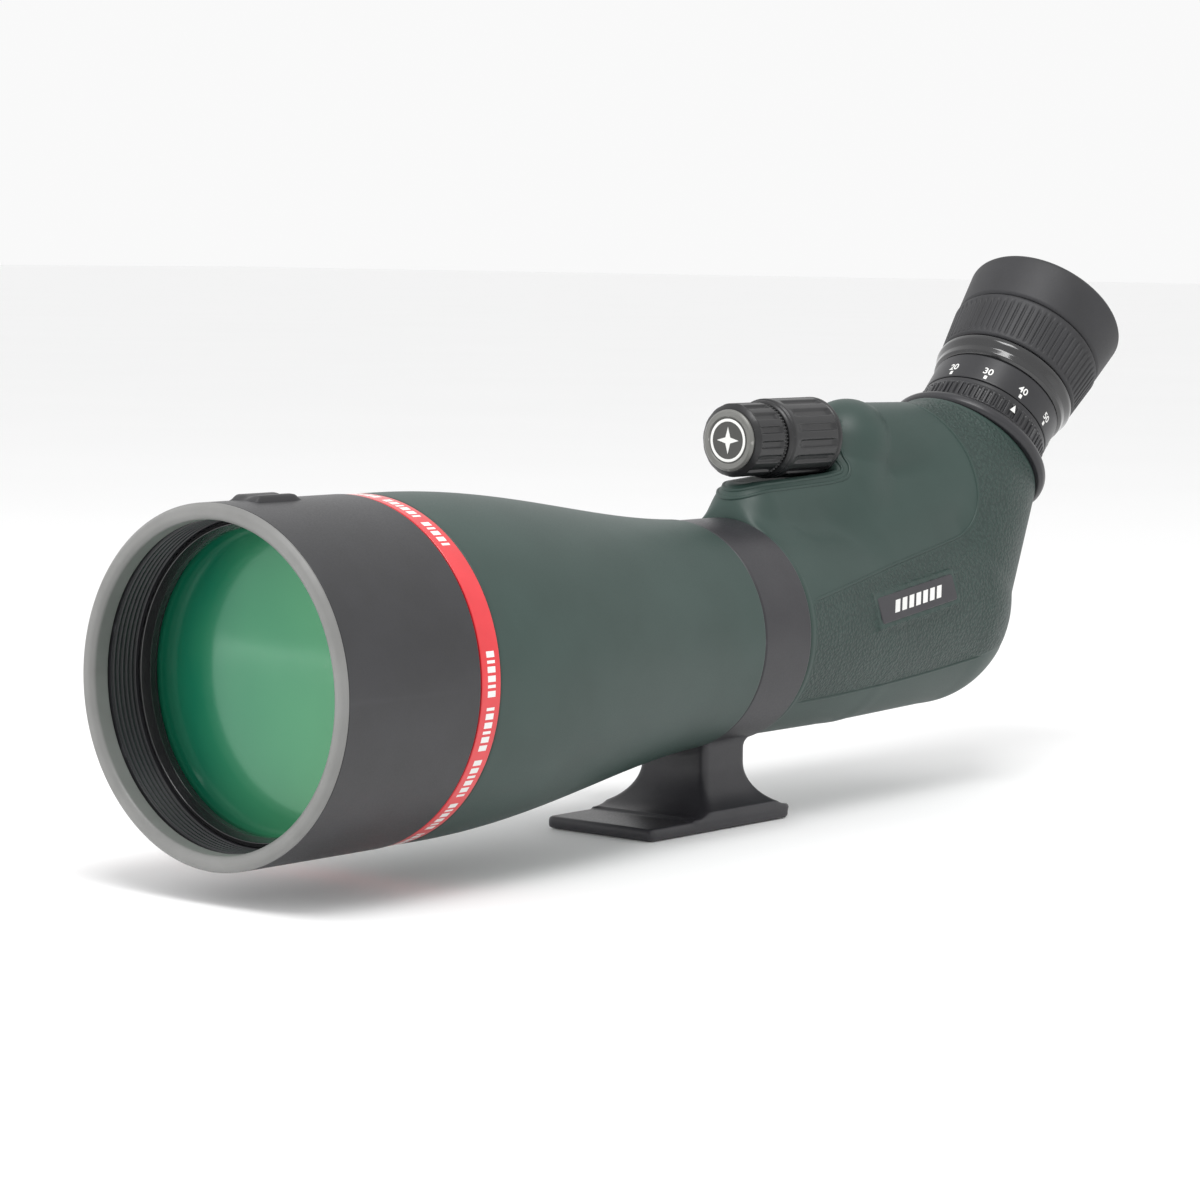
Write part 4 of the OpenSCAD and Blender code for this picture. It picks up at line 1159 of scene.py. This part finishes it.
outline = [(fixed_in_r, seat_u0), (21.4, seat_u0), (21.4, flange_u - 0.9), (seat_r - 1.0, flange_u - 0.9),
           (seat_r, flange_u + 0.2), (seat_r, flange_u + 1.8), (seat_r - 0.5, flange_u + 2.8),
           (seat_r - 2.6, flange_u + 4.4), (dial_r + 1.2, flange_u + 5.2), (dial_r + 0.6, flange_u + 6),
           (fixed_in_r, flange_u + 6)]
piece = lathe("eyepiece_flange", outline, eye_frame, "scope_tube",
              M["black_anodised"], 0.5, 224)
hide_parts("eyepiece_seat")

outline = [(fixed_in_r, lock_u0), (lock_r2 - 0.5, lock_u0)]
outline += [(lock_r2, lock_u0 + 0.4 + 5.6 * i / 14) for i in range(15)]
outline += [(lock_r2 - 0.5, lock_u0 + 6.5), (dial_r - 0.2, lock_u0 + 7.2),
            (dial_r - 0.2, lock_u1), (fixed_in_r, lock_u1)]
knurl = wave_ribs(72, 0.65, 0.5)
piece = lathe("eyepiece_knurl_ring", outline, eye_frame, "scope_tube", M["black_anodised"],
              0.15, 672, lambda a, r, h: knurl(a) * between(h, lock_u0 + 0.9, lock_u0 + 5.7, 0.5) * (r > 19))
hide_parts("eyepiece_lock_ring")

outline = [(turning_in_r, dial_u0), (dial_r - 0.15, dial_u0), (dial_r, dial_u0 + 0.3),
           (dial_r, dial_u1 - 0.6), (dial_r - 0.4, dial_u1), (turning_in_r, dial_u1)]
piece = lathe("zoom_dial_ring", outline, eye_frame, "zoom_ring",
              M["black_anodised"], 0.15, 224)
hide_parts("zoom_dial")

outline = [(turning_in_r, gloss_u0), (dial_r - 0.1, gloss_u0), (dial_r + 0.8, gloss_u0 + 0.9),
           (dial_r + 0.9, gloss_u0 + 2.8), (gloss_r - 0.2, gloss_u0 + 4.6), (gloss_r, gloss_u0 + 5.2),
           (gloss_r, gloss_u0 + 6.4), (gloss_r - 1.0, gloss_u1), (turning_in_r, gloss_u1)]
piece = lathe("zoom_gloss_ring", outline, eye_frame, "zoom_ring", M["gloss_black"], 0.3, 224)
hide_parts("zoom_collar")

grip_base = gloss_r - 0.1
length = grip_u1 - grip_u0
outline = [(turning_in_r, grip_u0), (grip_base - 0.6, grip_u0), (grip_base, grip_u0 + 0.6)]
outline += [(grip_base + (grip_r - grip_base) * t, grip_u0 + 0.6 + (length - 1.6) * t)
            for t in np.linspace(0.05, 1, 20)]
outline += [(grip_r - 0.7, grip_u1), (turning_in_r, grip_u1)]
ribs = wave_ribs(66, 0.5, 0.62)
piece = lathe("zoom_grip_rubber", outline, eye_frame, "zoom_ring", M["black_rubber"], 0.3,
              792, lambda a, r, h: ribs(a) * between(h, grip_u0 + 1.8, grip_u1 - 2.6, 0.6) * (r > 21.5))
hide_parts("zoom_grip")

foot_r = cup_r - 1.4
cup_len = cup_u1 - cup_u0
outline = [(foot_r - 1.7, cup_u0), (foot_r - 0.8, cup_u0), (foot_r, cup_u0 + 0.9)]
outline += [(foot_r + (cup_r - foot_r) * t, cup_u0 + 0.9 + (cup_len - 2.0) * t)
            for t in np.linspace(0.1, 1, 10)]
outline += [(cup_r - 0.8, cup_u1), (cup_r - 2.2, cup_u1), (cup_r - 3.4, cup_u1 - 1.2),
            (cup_r - 3.4, cup_u1 - 2.4), (cup_r - 1.7, cup_u1 - 2.4)]
piece = lathe("eyecup_rubber", outline, eye_frame, "eyecup", M["black_rubber"], 0.45, 224)
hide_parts("eyecup")
outline = [(fixed_in_r, cup_u0 + 0.4), (18.0, cup_u0), (foot_r - 1.75, cup_u0),
           (cup_r - 1.75, cup_u1 - 2.45), (cup_r - 3.2, cup_u1 - 2.45),
           (cup_r - 5.1, cup_u0 + 9.6), (fixed_in_r, cup_u0 + 8)]
piece = lathe("eyecup_body", outline, eye_frame, "eyecup", M["black_anodised"], 0.3, 224)
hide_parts("eyecup_sleeve")
u0, u1, r_out = eye_span("eye_lens_retainer")
outline = [(14.3, u0), (15.4, u0), (15.4, u0 + 2), (r_out, u0 + 2), (r_out, u1 - 0.3), (r_out - 0.3, u1),
           (15.2, u1), (14.4, u1 - 1.0)]
piece = lathe("eye_lens_ring", outline, eye_frame, "scope_tube", M["gloss_black"], 0.2, 192)
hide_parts("eye_lens_retainer")
u0, u1, r_out = eye_span("eye_lens")
face = dome(r_out, 0.5, u1 - 0.5, -1, 24)
outline = face + [(r_out, u0 + 1)] + [(0, u0 + 1)]
piece = lathe("eye_glass", outline, eye_frame, "scope_tube", M["eye_glass"], 0, 128)
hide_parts("eye_lens")


def on_ring(verts, r, angle, u):
    """Bends flat (right, up, out) points onto the eyepiece at an angle and place along it."""
    out = []
    for x, y, z in verts:
        a = angle + x / r
        out.append(((r + z) * math.cos(a), (r + z) * math.sin(a), u + y))
    return place(out, eye_frame)


def figure(text, size):
    """Outline figures as a thin mesh, centred, in mm."""
    curve = bpy.data.curves.new("figure", "FONT")
    curve.body = text
    curve.size = size
    curve.extrude = 0.06
    curve.align_x = "CENTER"
    curve.offset = 0.05
    holder = bpy.data.objects.new("figure", curve)
    bpy.context.scene.collection.objects.link(holder)
    bpy.context.view_layer.update()
    mesh = bpy.data.meshes.new_from_object(holder.evaluated_get(bpy.context.evaluated_depsgraph_get()))
    verts = [tuple(v.co) for v in mesh.vertices]
    faces = [tuple(p.vertices) for p in mesh.polygons]
    bpy.data.objects.remove(holder)
    bpy.data.curves.remove(curve)
    bpy.data.meshes.remove(mesh)
    return verts, faces


def dial_marks():
    """Plain magnification figures with a tick under each, turning with the zoom ring."""
    parts = []
    for text, degrees in (("20", 171), ("30", 204), ("40", 238), ("50", 272), ("60", 306)):
        a = math.radians(degrees)
        verts, faces = figure(text, 3.4)
        parts.append((on_ring([(x, y, z) for x, y, z in verts], dial_r, a, dial_u0 + 3.0), faces))
        bar_v, bar_f = bar_on_ring(dial_r - 0.03, a, 0.5 / dial_r, dial_u0 + 0.9, dial_u0 + 2.3, 0.08)
        parts.append((place(bar_v, eye_frame), bar_f))
    return joined(parts)


verts, faces = dial_marks()
make("zoom_dial_figures", verts, faces, "zoom_ring", M["white_ink"], 30, False)

index_a = math.radians(238)
tri = [(-1.0, -1.3, 0), (1.0, -1.3, 0), (0, 1.3, 0), (-1.0, -1.3, 0.12), (1.0, -1.3, 0.12), (0, 1.3, 0.12)]
faces = [(2, 1, 0), (3, 4, 5), (0, 1, 4, 3), (1, 2, 5, 4), (2, 0, 3, 5)]
piece = make("eyepiece_index", on_ring(tri, lock_r2 - 0.03, index_a, lock_u0 + 4.4), faces, "scope_tube",
             M["white_ink"], 30, False)
fix_normals(piece)


# ---- floor, light and camera

floor_mat, tree, shader = nodes_of("studio_floor")
coord = object_coord(tree)
link(tree, mix_color(tree, noise(tree, coord, 3, 2), (0.93, 0.93, 0.93), (0.96, 0.96, 0.96)),
     shader.inputs["Base Color"])
shader.inputs["Roughness"].default_value = 0.7
mesh = bpy.data.meshes.new("floor")
mesh.from_pydata([(-20, -20, 0), (20, -20, 0), (20, 20, 0), (-20, 20, 0)], [], [(0, 1, 2, 3)])
floor = bpy.data.objects.new("floor", mesh)
bpy.context.scene.collection.objects.link(floor)
mesh.materials.append(floor_mat)
floor.location.z = -0.0002

world = bpy.data.worlds.new("studio")
bpy.context.scene.world = world
world.use_nodes = True
world.node_tree.nodes["Background"].inputs["Color"].default_value = (1, 1, 1, 1)
world.node_tree.nodes["Background"].inputs["Strength"].default_value = 0.95


def area_light(name, place_at, target, size, energy, size_y=None):
    data = bpy.data.lights.new(name, "AREA")
    data.energy = energy
    data.shape = "RECTANGLE"
    data.size = size
    data.size_y = size_y or size
    lamp = bpy.data.objects.new(name, data)
    bpy.context.scene.collection.objects.link(lamp)
    lamp.location = place_at
    lamp.rotation_euler = (Vector(target) - Vector(place_at)).to_track_quat("-Z", "Y").to_euler()
    return lamp


centre = (0, 0, axis_z * MM)
area_light("key", (-0.45, -0.35, 1.2), centre, 0.6, 9)
# Fills the shaded side and leaves no mirror image of itself on the glass
front_softbox = area_light("front_softbox", (-1.15, 0.75, 0.12), (-0.2, 0, 0.06), 0.7, 9, 0.7)
front_softbox.visible_glossy = False

camera = bpy.data.cameras.new("camera")
camera.lens = 111.48
camera.sensor_width = 36
view = bpy.data.objects.new("camera", camera)
bpy.context.scene.collection.objects.link(view)
right, up, forward = (Vector((0.6317584, -0.77505848, 0.01287147)),
                      Vector((0.06463292, 0.06921545, 0.9955058)),
                      Vector((0.77246612, 0.62808723, -0.09382174)))
rotation = Matrix((right, up, -forward)).transposed().to_4x4()
rotation.translation = Vector((-0.86262, -0.66532, 0.16723))
view.matrix_world = rotation
bpy.context.scene.camera = view
bpy.context.scene.view_settings.view_transform = "Standard"
